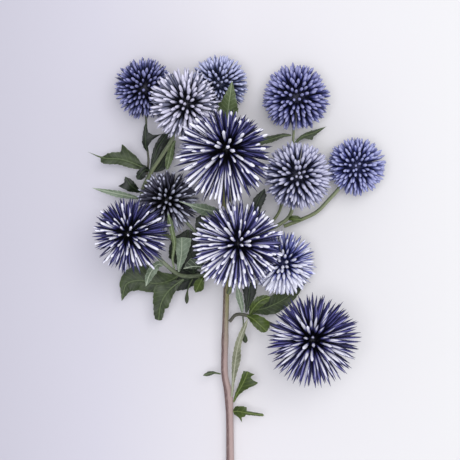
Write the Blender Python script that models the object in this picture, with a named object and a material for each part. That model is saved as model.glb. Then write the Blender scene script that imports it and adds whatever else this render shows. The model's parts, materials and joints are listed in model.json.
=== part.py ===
"""Cut spray of globe thistle: twelve spiky flower heads on one branching stem.

The spray lies on its back on a flat surface.  +Y runs along the stem towards the heads,
+X is to the right and +Z is up.  The rear heads and the cut end of the stem touch the
surface, and the front heads stand over them on their stalks.  The tables below are in
millimetres, in a drawing frame that the last step moves to the middle of the part's foot.
Rows that describe a leaf give its root first and its tip last.
"""
import math
from collections import namedtuple

import bmesh
import bpy
from mathutils import Vector

MM = 0.001
CLEARANCE = 0.3          # gap left where one grown piece leaves another

SPIKES_PER_HEAD = 72     # florets drawn as solid spikes on each head
CORE_SHARE = 0.42        # radius of a head's core over its full radius

TUBE_STEP = 5.0          # spacing of the rings along a stem or stalk
TUBE_RESOLUTION = 2      # eight-sided stems
LEAF_THICKNESS = 0.7     # at the midrib; a blade thins to nothing at its edges
LOBE_SWEEP = 0.35        # how far a lobe leans towards the leaf's tip, over its width

# Where each head's centre is, and its radius to the tips of the florets.
HEADS = {
    "head_top_left": ((-42.3, 70.0, 15.0), 15.0),
    "head_upper_left": ((-22.0, 60.5, 39.5), 17.0),
    "head_top_middle": ((-5.5, 72.2, 14.5), 14.5),
    "head_top_right": ((32.5, 65.5, 16.5), 16.5),
    "head_right": ((62.5, 31.5, 14.5), 14.5),
    "head_inner_right": ((33.0, 26.5, 26.5), 16.8),
    "head_crown": ((-3.0, 34.0, 62.5), 22.5),
    "head_inner_left": ((-30.5, 14.0, 15.5), 15.5),
    "head_left": ((-47.0, -2.4, 42.0), 18.5),
    "head_centre": ((3.6, -7.5, 45.5), 21.5),
    "head_behind_centre": ((26.5, -16.5, 16.0), 16.0),
    "head_lower_right": ((40.0, -53.0, 42.0), 22.5),
}

# A stem or stalk: what it grows from, the points it passes, the head that it carries, and
# its radius at the foot and at the head.  The first point of a stalk only says where on
# its parent it starts.
Stalk = namedtuple("Stalk", "parent route head foot top")
STALKS = {
    "main_stem": Stalk(None, [
        (1.0, -158.0, 2.1), (0.3, -136.0, 3.0), (0.0, -114.5, 4.5), (-0.2, -95.0, 6.5),
        (-0.8, -82.0, 8.0), (-2.7, -71.5, 9.2), (-2.6, -56.0, 11.0), (-1.9, -29.0, 13.5),
        (-2.2, -8.0, 16.0), (-3.0, 10.0, 24.0), (-3.3, 22.0, 35.0)],
        "head_crown", 2.1, 1.0),
    "stalk_upper_left": Stalk("main_stem", [
        (-2.0, -16.0, 15.0), (-15.0, -13.0, 10.0), (-29.0, -4.5, 7.0), (-41.5, 5.5, 4.5),
        (-44.0, 18.0, 6.0), (-39.5, 28.0, 12.5), (-33.5, 37.0, 17.5), (-27.5, 46.0, 24.5)],
        "head_upper_left", 1.1, 0.9),
    "stalk_top_left": Stalk("stalk_upper_left", [
        (-40.5, 26.5, 11.5), (-40.5, 35.0, 12.5), (-41.5, 44.0, 13.5), (-41.5, 53.0, 14.5)],
        "head_top_left", 0.55, 0.5),
    "stalk_inner_left": Stalk("main_stem", [
        (-2.2, -10.0, 15.8), (-12.0, -6.0, 14.5), (-19.0, 1.0, 14.5)],
        "head_inner_left", 0.9, 0.7),
    "stalk_left": Stalk("main_stem", [
        (-2.0, -21.0, 14.5), (-8.0, -21.0, 14.5), (-15.0, -22.5, 15.0), (-24.0, -22.5, 17.0),
        (-31.0, -17.5, 22.0), (-36.5, -11.5, 29.0)],
        "head_left", 1.1, 0.9),
    "stalk_centre": Stalk("main_stem", [
        (-2.0, -31.0, 13.3), (1.5, -24.5, 20.0), (3.0, -19.0, 28.0)],
        "head_centre", 1.0, 0.9),
    "stalk_behind_centre": Stalk("main_stem", [
        (-2.0, -26.0, 13.8), (6.0, -23.5, 13.5), (13.0, -20.5, 14.5)],
        "head_behind_centre", 0.8, 0.7),
    "stalk_inner_right": Stalk("main_stem", [
        (-2.2, -12.0, 15.5), (8.0, -6.0, 14.0), (17.0, -0.5, 13.0), (24.0, 2.5, 13.0),
        (30.0, 8.0, 14.5)],
        "head_inner_right", 1.1, 0.8),
    "stalk_right": Stalk("stalk_inner_right", [
        (25.5, 3.5, 13.2), (36.0, 5.5, 12.5), (43.0, 9.0, 12.5), (48.5, 14.5, 13.0),
        (53.5, 20.0, 13.5)],
        "head_right", 0.9, 0.9),
    "stalk_top_right": Stalk("stalk_inner_right", [
        (18.5, 0.3, 13.0), (22.5, 6.0, 10.5), (25.5, 12.0, 8.5), (29.0, 27.0, 7.0),
        (31.0, 39.0, 9.0), (31.5, 47.0, 12.0)],
        "head_top_right", 0.7, 0.6),
    "stalk_top_middle": Stalk("main_stem", [
        (-2.2, -3.0, 17.5), (0.0, 12.0, 14.0), (-2.5, 30.0, 12.0), (-4.0, 46.0, 12.5)],
        "head_top_middle", 0.8, 0.7),
    "stalk_lower_right": Stalk("main_stem", [
        (-2.4, -45.0, 12.2), (3.0, -42.0, 13.8), (8.0, -42.2, 14.5), (13.0, -44.0, 14.5),
        (19.0, -46.0, 16.0), (25.0, -48.5, 21.5)],
        "head_lower_right", 0.8, 1.0),
}

# A leaf: the stem it grows on, the line of its midrib, and its outline as rows of
# (share of the midrib's length, width to its left, width to its right), seen from above
# when looking from the root to the tip.  cup lifts the edges, as a share of the width.
Leaf = namedtuple("Leaf", "stalk midrib outline cup colour")
LEAVES = {
    "leaf_upper_left": Leaf("stalk_top_left", [
        (-40.5, 31.5, 12.0), (-44.0, 31.5, 12.5), (-49.3, 33.7, 13.5), (-54.6, 35.2, 13.5),
        (-60.5, 35.5, 13.0), (-64.5, 36.3, 12.0), (-71.0, 39.0, 10.0)], [
        (0, 0.5, 0.5), (0.08, 1.8, 1.6), (0.18, 2.8, 3.8), (0.28, 3.1, 5.0),
        (0.39, 2.9, 7.6), (0.41, 2.8, 3.4), (0.52, 2.8, 3.2), (0.62, 2.9, 2.4),
        (0.70, 2.6, 0.9), (0.745, 0.5, 0.4), (1, 0, 0)], 0.1, "leaf"),
    "leaf_upper_left_low": Leaf("stalk_upper_left", [
        (-40.0, 30.0, 13.3), (-41.8, 29.8, 16.0), (-43.8, 28.0, 16.5), (-46.0, 25.0, 15.5)],
        [(0, 0.5, 0.5), (0.25, 2.1, 1.9), (0.55, 2.8, 2.2), (0.85, 1.8, 1.4), (1, 0, 0)],
        0.0, "dark"),
    "leaf_collar": Leaf("stalk_top_left", [
        (-41.0, 39.0, 13.0), (-41.8, 42.5, 16.0), (-41.8, 46.5, 17.0), (-41.5, 53.5, 17.0)], [
        (0, 0.4, 0.4), (0.15, 1.2, 1.0), (0.30, 1.6, 3.4), (0.42, 1.5, 8.0),
        (0.50, 1.4, 3.6), (0.62, 1.2, 1.5), (0.8, 0.9, 0.7), (1, 0, 0)], 0.0, "dark"),
    "leaf_between_stalks": Leaf("stalk_upper_left", [
        (-39.2, 29.0, 13.0), (-37.8, 35.0, 11.5), (-35.8, 41.0, 12.0), (-32.5, 46.0, 13.5),
        (-30.0, 49.0, 15.0)],
        [(0, 0.5, 0.5), (0.25, 1.6, 1.6), (0.6, 2.0, 2.0), (0.8, 2.0, 1.8), (1, 0, 0)],
        0.0, "dark"),
    "leaf_behind_stalks": Leaf("stalk_upper_left", [
        (-38.6, 28.5, 13.5), (-35.0, 31.5, 10.5), (-32.5, 37.5, 9.0), (-30.0, 46.0, 9.5)],
        [(0, 0.5, 0.5), (0.2, 2.6, 2.8), (0.5, 4.0, 4.6), (0.8, 3.4, 3.6), (1, 0, 0)],
        0.0, "dark"),
    "leaf_beside_stalk": Leaf("stalk_upper_left", [
        (-28.5, 44.5, 23.0), (-28.5, 41.0, 20.5), (-29.8, 36.0, 18.0), (-31.3, 29.5, 16.0)],
        [(0, 0.5, 0.5), (0.3, 1.4, 1.4), (0.6, 1.9, 1.9), (0.85, 1.2, 1.2), (1, 0, 0)],
        0.1, "leaf"),
    "leaf_needle": Leaf("stalk_upper_left", [
        (-44.2, 16.0, 5.8), (-48.5, 16.5, 9.5), (-55.5, 18.0, 12.0), (-62.5, 19.5, 12.0),
        (-69.0, 21.0, 10.5)],
        [(0, 0.5, 0.5), (0.2, 1.2, 1.1), (0.45, 1.9, 1.6), (0.7, 1.2, 1.0), (1, 0, 0)],
        0.2, "pale"),
    "leaf_forked": Leaf("stalk_upper_left", [
        (-44.0, 19.5, 6.8), (-46.5, 20.0, 11.0), (-49.0, 22.0, 14.5), (-52.0, 26.5, 15.0)], [
        (0, 0.5, 0.5), (0.3, 1.9, 1.6), (0.55, 3.2, 2.4), (0.72, 5.4, 2.0), (0.79, 1.9, 1.6),
        (0.9, 1.0, 0.8), (1, 0, 0)], 0.0, "dark"),
    "leaf_low_left": Leaf("stalk_left", [
        (-25.0, -22.3, 17.3), (-31.0, -25.5, 13.0), (-38.0, -26.5, 12.0), (-44.5, -25.0, 12.0),
        (-51.0, -26.5, 11.5), (-53.0, -31.0, 11.0), (-54.0, -35.5, 10.0)], [
        (0, 0.5, 0.5), (0.12, 2.2, 5.0), (0.30, 4.4, 7.6), (0.46, 5.2, 8.0),
        (0.60, 5.0, 7.0), (0.68, 4.4, 5.8), (0.80, 3.2, 2.4), (0.90, 1.6, 0.8), (1, 0, 0)],
        0.0, "leaf"),
    "leaf_low_left_droop": Leaf("stalk_left", [
        (-22.5, -22.6, 16.8), (-27.5, -27.5, 16.5), (-31.5, -31.5, 15.5), (-34.3, -37.0, 14.5),
        (-35.5, -45.0, 13.0)], [
        (0, 0.5, 0.5), (0.20, 2.4, 2.6), (0.38, 3.6, 6.8), (0.50, 4.0, 5.4),
        (0.63, 4.2, 4.2), (0.70, 2.6, 3.4), (0.85, 2.2, 2.6), (0.95, 1.8, 1.8), (1, 0, 0)],
        0.0, "leaf"),
    "leaf_pale_hook": Leaf("stalk_left", [
        (-32.5, -16.0, 23.8), (-35.5, -17.0, 28.0), (-39.0, -21.5, 29.5), (-41.0, -27.5, 29.0)],
        [(0, 0.5, 0.5), (0.2, 1.9, 1.7), (0.45, 2.5, 2.1), (0.75, 1.7, 1.5), (1, 0, 0)],
        0.1, "pale"),
    "leaf_centre_upright": Leaf("stalk_left", [
        (-26.0, -21.5, 18.3), (-25.0, -18.0, 21.5), (-23.8, -12.0, 24.5), (-23.5, -3.5, 27.5)],
        [(0, 0.5, 0.5), (0.25, 1.3, 1.6), (0.5, 2.4, 2.9), (0.75, 3.6, 4.4), (0.9, 3.4, 4.6),
        (1, 0, 0)], 0.1, "pale"),
    "leaf_centre_narrow": Leaf("stalk_left", [
        (-28.5, -19.8, 20.0), (-28.0, -14.0, 27.0), (-27.0, -7.0, 31.0), (-27.8, -1.5, 33.0),
        (-30.0, 8.5, 34.5)],
        [(0, 0.4, 0.4), (0.3, 0.7, 0.7), (0.6, 1.1, 1.1), (0.85, 1.4, 1.2), (1, 0, 0)],
        0.0, "leaf"),
    "leaf_centre_back": Leaf("stalk_left", [
        (-17.5, -22.5, 15.3), (-19.0, -16.5, 13.0), (-20.5, -9.0, 12.0), (-21.0, 0.5, 11.5)],
        [(0, 0.5, 0.5), (0.12, 6.0, 4.4), (0.3, 10.5, 5.6), (0.5, 10.0, 6.0),
        (0.7, 7.5, 5.6), (0.85, 3.6, 3.8), (1, 0, 0)], 0.0, "dark"),
    "leaf_centre_dark": Leaf("stalk_inner_left", [
        (-7.5, -7.8, 15.0), (-11.0, -3.0, 19.0), (-13.5, 2.5, 20.5), (-14.0, 8.0, 20.5)],
        [(0, 0.5, 0.5), (0.3, 3.0, 3.0), (0.6, 4.0, 4.0), (0.85, 2.6, 2.6), (1, 0, 0)],
        0.0, "dark"),
    "leaf_centre_left": Leaf("main_stem", [
        (-3.0, 9.0, 23.5), (-7.5, 9.0, 30.0), (-12.5, 10.0, 34.0), (-17.5, 11.5, 36.5),
        (-25.0, 14.0, 38.0)], [
        (0, 0.5, 0.5), (0.25, 2.2, 2.2), (0.45, 3.1, 2.8), (0.62, 2.0, 1.8), (0.75, 0.7, 0.7),
        (1, 0, 0)], 0.0, "pale"),
    "leaf_olive": Leaf("stalk_left", [
        (-13.5, -22.2, 15.0), (-14.0, -24.5, 17.5), (-15.2, -27.0, 16.5), (-17.2, -31.0, 14.5)],
        [(0, 0.5, 0.5), (0.3, 2.2, 2.4), (0.55, 3.0, 2.6), (0.8, 1.8, 1.6), (1, 0, 0)],
        0.0, "olive"),
    "leaf_fold": Leaf("stalk_left", [
        (-10.0, -21.2, 14.6), (-13.0, -18.5, 17.5), (-18.0, -18.0, 19.0), (-23.0, -19.0, 19.5)],
        [(0, 0.5, 0.5), (0.3, 1.2, 2.2), (0.6, 1.2, 4.2), (0.8, 0.8, 2.2), (1, 0, 0)],
        0.0, "pale"),
    "leaf_low_middle": Leaf("stalk_left", [
        (-12.0, -21.8, 14.7), (-16.0, -23.0, 11.0), (-22.0, -25.0, 9.0), (-31.0, -28.0, 8.5)],
        [(0, 0.5, 0.5), (0.2, 3.0, 3.6), (0.5, 4.6, 6.4), (0.8, 3.6, 5.0), (1, 0, 0)],
        0.0, "dark"),
    "leaf_top_centre": Leaf("stalk_top_middle", [
        (-3.8, 45.0, 12.5), (-2.0, 51.0, 20.0), (-1.0, 58.0, 27.0), (0.0, 65.0, 31.0),
        (1.0, 72.5, 32.5)], [
        (0, 0.5, 0.5), (0.2, 2.0, 2.0), (0.4, 4.2, 4.4), (0.53, 4.8, 5.0), (0.60, 5.6, 4.4),
        (0.64, 3.8, 4.0), (0.75, 2.7, 2.8), (0.88, 1.3, 1.5), (1, 0, 0)], 0.0, "leaf"),
    "leaf_upper_right": Leaf("stalk_top_right", [
        (31.5, 47.0, 12.0), (26.5, 47.0, 12.0), (21.5, 45.5, 12.0), (16.0, 44.0, 12.0),
        (10.0, 41.5, 13.0)],
        [(0, 0.4, 0.4), (0.2, 1.1, 1.1), (0.5, 1.8, 1.8), (0.75, 1.4, 1.2), (1, 0, 0)],
        0.0, "leaf"),
    "leaf_upper_right_tip": Leaf("stalk_top_right", [
        (31.2, 43.0, 10.3), (36.0, 46.5, 9.0), (42.0, 48.5, 9.5), (48.0, 51.5, 11.0)], [
        (0, 0.4, 0.4), (0.3, 1.0, 1.4), (0.45, 1.4, 3.2), (0.55, 1.5, 1.6), (0.75, 0.9, 0.8),
        (1, 0, 0)], 0.0, "leaf"),
    "leaf_between_heads": Leaf("stalk_inner_right", [
        (12.0, -3.5, 13.6), (12.0, 4.0, 18.0), (13.0, 12.0, 20.0), (17.0, 20.5, 20.0)],
        [(0, 0.5, 0.5), (0.3, 2.0, 2.0), (0.7, 2.6, 3.0), (0.85, 1.5, 2.6), (1, 0, 0)],
        0.0, "dark"),
    "bract_inner_right": Leaf("stalk_inner_right", [
        (28.0, 6.0, 14.0), (31.0, 5.5, 17.0), (36.0, 5.0, 17.0)],
        [(0, 0.4, 0.4), (0.35, 1.9, 1.2), (0.7, 1.5, 1.0), (1, 0, 0)], 0.0, "olive"),
    "leaf_right_long": Leaf("stalk_lower_right", [
        (9.5, -41.9, 15.4), (13.5, -39.8, 11.5), (19.0, -38.5, 8.5), (28.0, -34.0, 5.0),
        (35.0, -27.0, 4.2), (41.0, -20.5, 4.0)], [
        (0, 0.5, 0.5), (0.12, 2.6, 2.4), (0.30, 4.8, 4.6), (0.50, 4.4, 3.8), (0.65, 3.2, 3.0),
        (0.80, 1.6, 2.0), (0.90, 0.6, 0.9), (1, 0, 0)], 0.0, "leaf"),
    "leaf_right_bright": Leaf("stalk_lower_right", [
        (9.8, -42.0, 15.5), (11.5, -38.5, 19.5), (15.0, -34.8, 21.0), (20.0, -33.0, 20.0)],
        [(0, 0.5, 0.5), (0.3, 2.0, 2.0), (0.6, 2.6, 2.6), (0.85, 1.7, 1.7), (1, 0, 0)],
        0.0, "leaf"),
    "leaf_right_pale": Leaf("stalk_lower_right", [
        (6.0, -41.8, 14.7), (5.8, -38.0, 18.5), (4.8, -33.5, 21.0), (3.3, -27.0, 21.5)],
        [(0, 0.4, 0.4), (0.3, 1.3, 1.2), (0.65, 1.8, 1.6), (1, 0, 0)], 0.0, "pale"),
    "leaf_right_dark": Leaf("stalk_lower_right", [
        (7.8, -42.0, 15.0), (8.6, -37.5, 14.5), (9.4, -32.5, 14.0), (10.0, -26.0, 13.5)],
        [(0, 0.5, 0.5), (0.3, 1.8, 2.0), (0.6, 3.2, 3.4), (0.85, 4.2, 3.6), (0.94, 3.0, 2.8),
        (1, 0, 0)], 0.0, "dark"),
    "leaf_right_low": Leaf("stalk_lower_right", [
        (8.5, -42.2, 15.2), (11.0, -43.6, 19.0), (14.0, -46.0, 20.3), (18.2, -50.0, 19.8)],
        [(0, 0.5, 0.5), (0.25, 2.6, 1.8), (0.5, 4.0, 2.6), (0.75, 4.2, 2.4), (0.9, 2.4, 1.6),
        (1, 0, 0)], 0.0, "leaf"),
    "leaf_side_long": Leaf("main_stem", [
        (-0.8, -83.0, 8.0), (1.6, -74.0, 13.5), (2.7, -64.5, 16.0), (4.2, -56.0, 18.5),
        (6.9, -48.5, 20.0), (8.8, -43.5, 21.0)], [
        (0, 0.5, 0.5), (0.2, 0.6, 0.9), (0.38, 1.5, 2.1), (0.48, 1.8, 2.6), (0.62, 1.7, 1.6),
        (0.8, 1.5, 1.2), (0.92, 1.0, 0.8), (1, 0, 0)], 0.0, "pale"),
    "leaf_stem_left": Leaf("main_stem", [
        (-2.7, -71.5, 9.2), (-8.5, -71.0, 11.5), (-13.5, -72.3, 12.0)],
        [(0, 0.3, 0.3), (0.3, 0.5, 0.5), (0.6, 1.2, 1.2), (0.85, 0.7, 0.7), (1, 0, 0)],
        0.0, "leaf"),
    "leaf_stem_fork": Leaf("main_stem", [
        (-0.5, -86.0, 7.5), (3.5, -81.5, 10.5), (6.0, -77.0, 12.5), (7.8, -73.0, 14.0),
        (9.0, -70.0, 14.5)], [
        (0, 0.4, 0.4), (0.2, 0.8, 0.9), (0.42, 1.4, 2.4), (0.55, 1.7, 3.8), (0.68, 1.9, 7.0),
        (0.75, 2.1, 3.6), (0.84, 2.3, 2.2), (0.92, 2.3, 3.4), (0.96, 0.9, 1.4), (1, 0, 0)],
        0.0, "leaf"),
    "leaf_stem_right": Leaf("main_stem", [
        (-0.2, -90.5, 7.0), (4.0, -90.3, 10.0), (8.5, -90.9, 12.0), (17.0, -92.0, 12.5)], [
        (0, 1.2, 1.2), (0.08, 2.4, 2.6), (0.20, 2.8, 5.4), (0.27, 2.9, 2.8),
        (0.38, 2.9, 2.0), (0.44, 1.0, 1.0), (0.8, 0.8, 0.8), (0.94, 0.7, 0.7), (1, 0, 0)],
        0.0, "leaf"),
}

# A small closed bud on a thread: its stalk, its line, and its radius at shares of it.
Bud = namedtuple("Bud", "stalk line radii")
BUDS = {
    "bud_pendant": Bud("stalk_left", [
        (-18.5, -22.7, 15.7), (-20.0, -27.0, 16.0), (-21.2, -31.0, 14.0), (-21.5, -36.5, 12.0)],
        [(0, 0.35), (0.5, 0.35), (0.8, 1.0), (0.92, 0.9), (1, 0.3)]),
    "bud_side": Bud("stalk_lower_right", [
        (6.5, -41.9, 14.2), (6.6, -45.0, 12.5), (6.8, -50.0, 13.5), (7.8, -56.0, 13.0)],
        [(0, 0.35), (0.6, 0.35), (0.85, 1.3), (0.95, 1.1), (1, 0.3)]),
}

# Knots on the main stem: (share of its length, extra radius, half length), as a bulge.
STEM_KNOTS = [(0.36, 0.35, 0.035), (0.50, 0.2, 0.02)]

COLOURS = {
    "floret": (0.055, 0.055, 0.16, 1),
    "stem": (0.25, 0.16, 0.12, 1),
    "stalk": (0.22, 0.26, 0.12, 1),
    "leaf": (0.07, 0.11, 0.03, 1),
    "dark": (0.02, 0.04, 0.015, 1),
    "olive": (0.09, 0.13, 0.015, 1),
    "pale": (0.28, 0.36, 0.2, 1),
}


def finish(name):
    """A plain matt plant surface in one of the spray's colours."""
    material = bpy.data.materials.new(name)
    material.use_nodes = True
    shader = material.node_tree.nodes["Principled BSDF"]
    shader.inputs["Base Color"].default_value = COLOURS[name]
    shader.inputs["Roughness"].default_value = 0.6
    shader.inputs["Metallic"].default_value = 0.0
    return material


class Path:
    """A smooth line through a few points, cut into short equal steps."""

    STEPS_PER_SPAN = 24

    def __init__(self, points):
        points = [Vector(p) for p in points]
        before = points[0] * 2 - points[1]
        after = points[-1] * 2 - points[-2]
        chain = [before] + points + [after]
        self.points = []
        for a, b, c, d in zip(chain, chain[1:], chain[2:], chain[3:]):
            for i in range(self.STEPS_PER_SPAN):
                self.points.append(catmull_rom(a, b, c, d, i / self.STEPS_PER_SPAN))
        self.points.append(points[-1])
        self.reach = [0.0]
        for a, b in zip(self.points, self.points[1:]):
            self.reach.append(self.reach[-1] + (b - a).length)
        self.length = self.reach[-1]

    def at(self, share):
        """The point at a share of the length, and the direction of the line there."""
        target = max(0.0, min(1.0, share)) * self.length
        i = 1
        while i < len(self.reach) - 1 and self.reach[i] < target:
            i += 1
        a, b = self.points[i - 1], self.points[i]
        step = self.reach[i] - self.reach[i - 1]
        return a.lerp(b, (target - self.reach[i - 1]) / step), (b - a).normalized()

    def nearest_share(self, point):
        point = Vector(point)
        nearest = min(range(len(self.points)), key=lambda i: (self.points[i] - point).length)
        return self.reach[nearest] / self.length


def catmull_rom(a, b, c, d, t):
    return 0.5 * (2 * b + (c - a) * t + (2 * a - 5 * b + 4 * c - d) * t ** 2
                  + (3 * b - a - 3 * c + d) * t ** 3)


def value_at(rows, share):
    """Reads a table of (share, value) rows between its rows."""
    for (t0, v0), (t1, v1) in zip(rows, rows[1:]):
        if share <= t1:
            return v0 + (v1 - v0) * (share - t0) / (t1 - t0)
    return rows[-1][1]


def stem_radius(name, share):
    stalk = STALKS[name]
    radius = stalk.foot + (stalk.top - stalk.foot) * share
    if name == "main_stem":
        for place, extra, half in STEM_KNOTS:
            radius += extra * max(0.0, 1 - ((share - place) / half) ** 2)
    return radius


def root_point(paths, parent, near, towards, child_radius):
    """The point just off the parent's skin where a piece of that radius starts."""
    share = paths[parent].nearest_share(near)
    centre, along = paths[parent].at(share)
    heading = (Vector(towards) - centre).normalized()
    lean = heading.dot(along)
    outward = (heading - along * lean).normalized()
    off_axis = stem_radius(parent, share) + CLEARANCE + child_radius * abs(lean)
    return centre + outward * off_axis


def head_axis(stalk):
    """The way from a head's centre to where its stalk comes in."""
    centre, _ = HEADS[stalk.head]
    return (Vector(stalk.route[-1]) - Vector(centre)).normalized()


def stalk_paths():
    """Every stem's line, from its parent's skin to the core of its head."""
    paths = {}
    for name, stalk in STALKS.items():
        route = [Vector(p) for p in stalk.route]
        if stalk.parent:
            route[0] = root_point(paths, stalk.parent, route[0], route[1], stalk.foot)
        centre, radius = HEADS[stalk.head]
        route.append(Vector(centre) + head_axis(stalk) * (radius * CORE_SHARE + CLEARANCE))
        paths[name] = Path(route)
    return paths


def tube(name, path, radius_at, material):
    """A round stem along a path, with closed ends."""
    count = max(6, round(path.length / TUBE_STEP)) + 1
    curve = bpy.data.curves.new(name, "CURVE")
    curve.dimensions = "3D"
    curve.bevel_depth = MM
    curve.bevel_resolution = TUBE_RESOLUTION
    curve.use_fill_caps = True
    spline = curve.splines.new("POLY")
    spline.points.add(count - 1)
    for i, point in enumerate(spline.points):
        share = i / (count - 1)
        place, _ = path.at(share)
        point.co = (*(place * MM), 1)
        point.radius = radius_at(share)
    curve.materials.append(material)
    return link(name, curve)


def link(name, data):
    made = bpy.data.objects.new(name, data)
    bpy.context.scene.collection.objects.link(made)
    return made


def spiral_directions(count, pole):
    """Directions spread evenly over a sphere, the first one along the pole."""
    turn = pole.to_track_quat("Z", "Y")
    golden = math.pi * (3 - math.sqrt(5))
    directions = []
    for i in range(count):
        height = 1 - (2 * i + 1) / count if i else 1.0
        ring = math.sqrt(1 - height * height)
        flat = Vector((math.cos(golden * i) * ring, math.sin(golden * i) * ring, height))
        directions.append(turn @ flat)
    return directions


def flower_head(name, pole, material):
    """A ball of spikes round a core, with a bare patch where the stalk comes in."""
    centre, radius = HEADS[name]
    mesh = bmesh.new()
    for direction in spiral_directions(SPIKES_PER_HEAD, pole):
        mesh.verts.new(direction)
    bmesh.ops.convex_hull(mesh, input=mesh.verts[:])
    spikes = [vert.co.copy() for vert in mesh.verts if vert.co.dot(pole) < 0.999]
    bmesh.ops.subdivide_edges(mesh, edges=mesh.edges[:], cuts=1, use_grid_fill=True)
    for vert in mesh.verts:
        reach = radius if vert.co in spikes else radius * CORE_SHARE
        vert.co = (Vector(centre) + vert.co.normalized() * reach) * MM
    bmesh.ops.triangulate(mesh, faces=mesh.faces[:])
    bmesh.ops.recalc_face_normals(mesh, faces=mesh.faces[:])
    return link(name, mesh_data(name, mesh, material))


def mesh_data(name, mesh, material):
    data = bpy.data.meshes.new(name)
    mesh.to_mesh(data)
    mesh.free()
    data.materials.append(material)
    return data


def leaf_section(path, row, cup):
    """Left edge, upper midrib, right edge and lower midrib at one row of the outline."""
    share, left, right = row
    centre, along = path.at(share)
    across = along.cross(Vector((0, 0, 1))).normalized()
    upward = across.cross(along)
    thickness = LEAF_THICKNESS / 2 * (1 - 0.6 * share)

    def edge(width, side):
        swept, _ = path.at(min(0.99, share + LOBE_SWEEP * width / path.length))
        return swept + across * side * width + upward * cup * width
    return (edge(left, -1), centre + upward * thickness,
            edge(right, 1), centre - upward * thickness)


def leaf_blade(name, leaf, paths, material):
    """A thin closed blade, thickest at its midrib, with lobes in its outline."""
    midrib = [Vector(p) for p in leaf.midrib]
    root_width = leaf.outline[0][1]
    midrib[0] = root_point(paths, leaf.stalk, midrib[0], midrib[1], root_width)
    path = Path(midrib)
    mesh = bmesh.new()
    rings = []
    for row in leaf.outline[:-1]:
        section = leaf_section(path, row, leaf.cup)
        rings.append([mesh.verts.new(corner * MM) for corner in section])
    tip = mesh.verts.new(path.points[-1] * MM)
    for ring, following in zip(rings, rings[1:]):
        for i in range(4):
            j = (i + 1) % 4
            mesh.faces.new((ring[i], ring[j], following[j], following[i]))
    for i in range(4):
        mesh.faces.new((rings[-1][i], rings[-1][(i + 1) % 4], tip))
    mesh.faces.new(rings[0])
    bmesh.ops.triangulate(mesh, faces=mesh.faces[:])
    bmesh.ops.recalc_face_normals(mesh, faces=mesh.faces[:])
    return link(name, mesh_data(name, mesh, material))


def build_stalks(paths, finishes):
    for name in STALKS:
        colour = "stem" if name == "main_stem" else "stalk"
        tube(name, paths[name], lambda share, n=name: stem_radius(n, share), finishes[colour])


def build_buds(paths, finishes):
    for name, bud in BUDS.items():
        line = [Vector(p) for p in bud.line]
        line[0] = root_point(paths, bud.stalk, line[0], line[1], bud.radii[0][1])
        tube(name, Path(line), lambda share, b=bud: value_at(b.radii, share), finishes["dark"])


def build_heads(finishes):
    for stalk in STALKS.values():
        flower_head(stalk.head, head_axis(stalk), finishes["floret"])


def build_leaves(paths, finishes):
    for name, leaf in LEAVES.items():
        leaf_blade(name, leaf, paths, finishes[leaf.colour])


def stand_on_origin():
    """Moves everything so that the middle of the foot of its box is the origin."""
    bpy.context.view_layer.update()
    graph = bpy.context.evaluated_depsgraph_get()
    corners = []
    for piece in bpy.context.scene.objects:
        shape = piece.evaluated_get(graph).to_mesh()
        corners += [piece.matrix_world @ v.co for v in shape.vertices]
    low = Vector([min(c[i] for c in corners) for i in range(3)])
    high = Vector([max(c[i] for c in corners) for i in range(3)])
    foot = Vector(((low.x + high.x) / 2, (low.y + high.y) / 2, low.z))
    for piece in bpy.context.scene.objects:
        piece.location -= foot


def build():
    for old in list(bpy.data.objects):
        bpy.data.objects.remove(old)
    finishes = {name: finish(name) for name in COLOURS}
    paths = stalk_paths()
    build_heads(finishes)
    build_stalks(paths, finishes)
    build_leaves(paths, finishes)
    build_buds(paths, finishes)
    stand_on_origin()


build()
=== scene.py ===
"""The looks of a cut spray of globe thistle that lies on its back on a pale surface.

Twelve heads of slender florets, ribbed stems and lobed leaves take the place of the plain
solids of the frame.  +Y runs along the stem towards the heads, +X is to the right and +Z
is up.  The tables are in millimetres, in the drawing frame of the solids, and place()
takes a point of them to the frame.
"""
import json
import math
import random
from collections import namedtuple
from functools import partial

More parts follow.
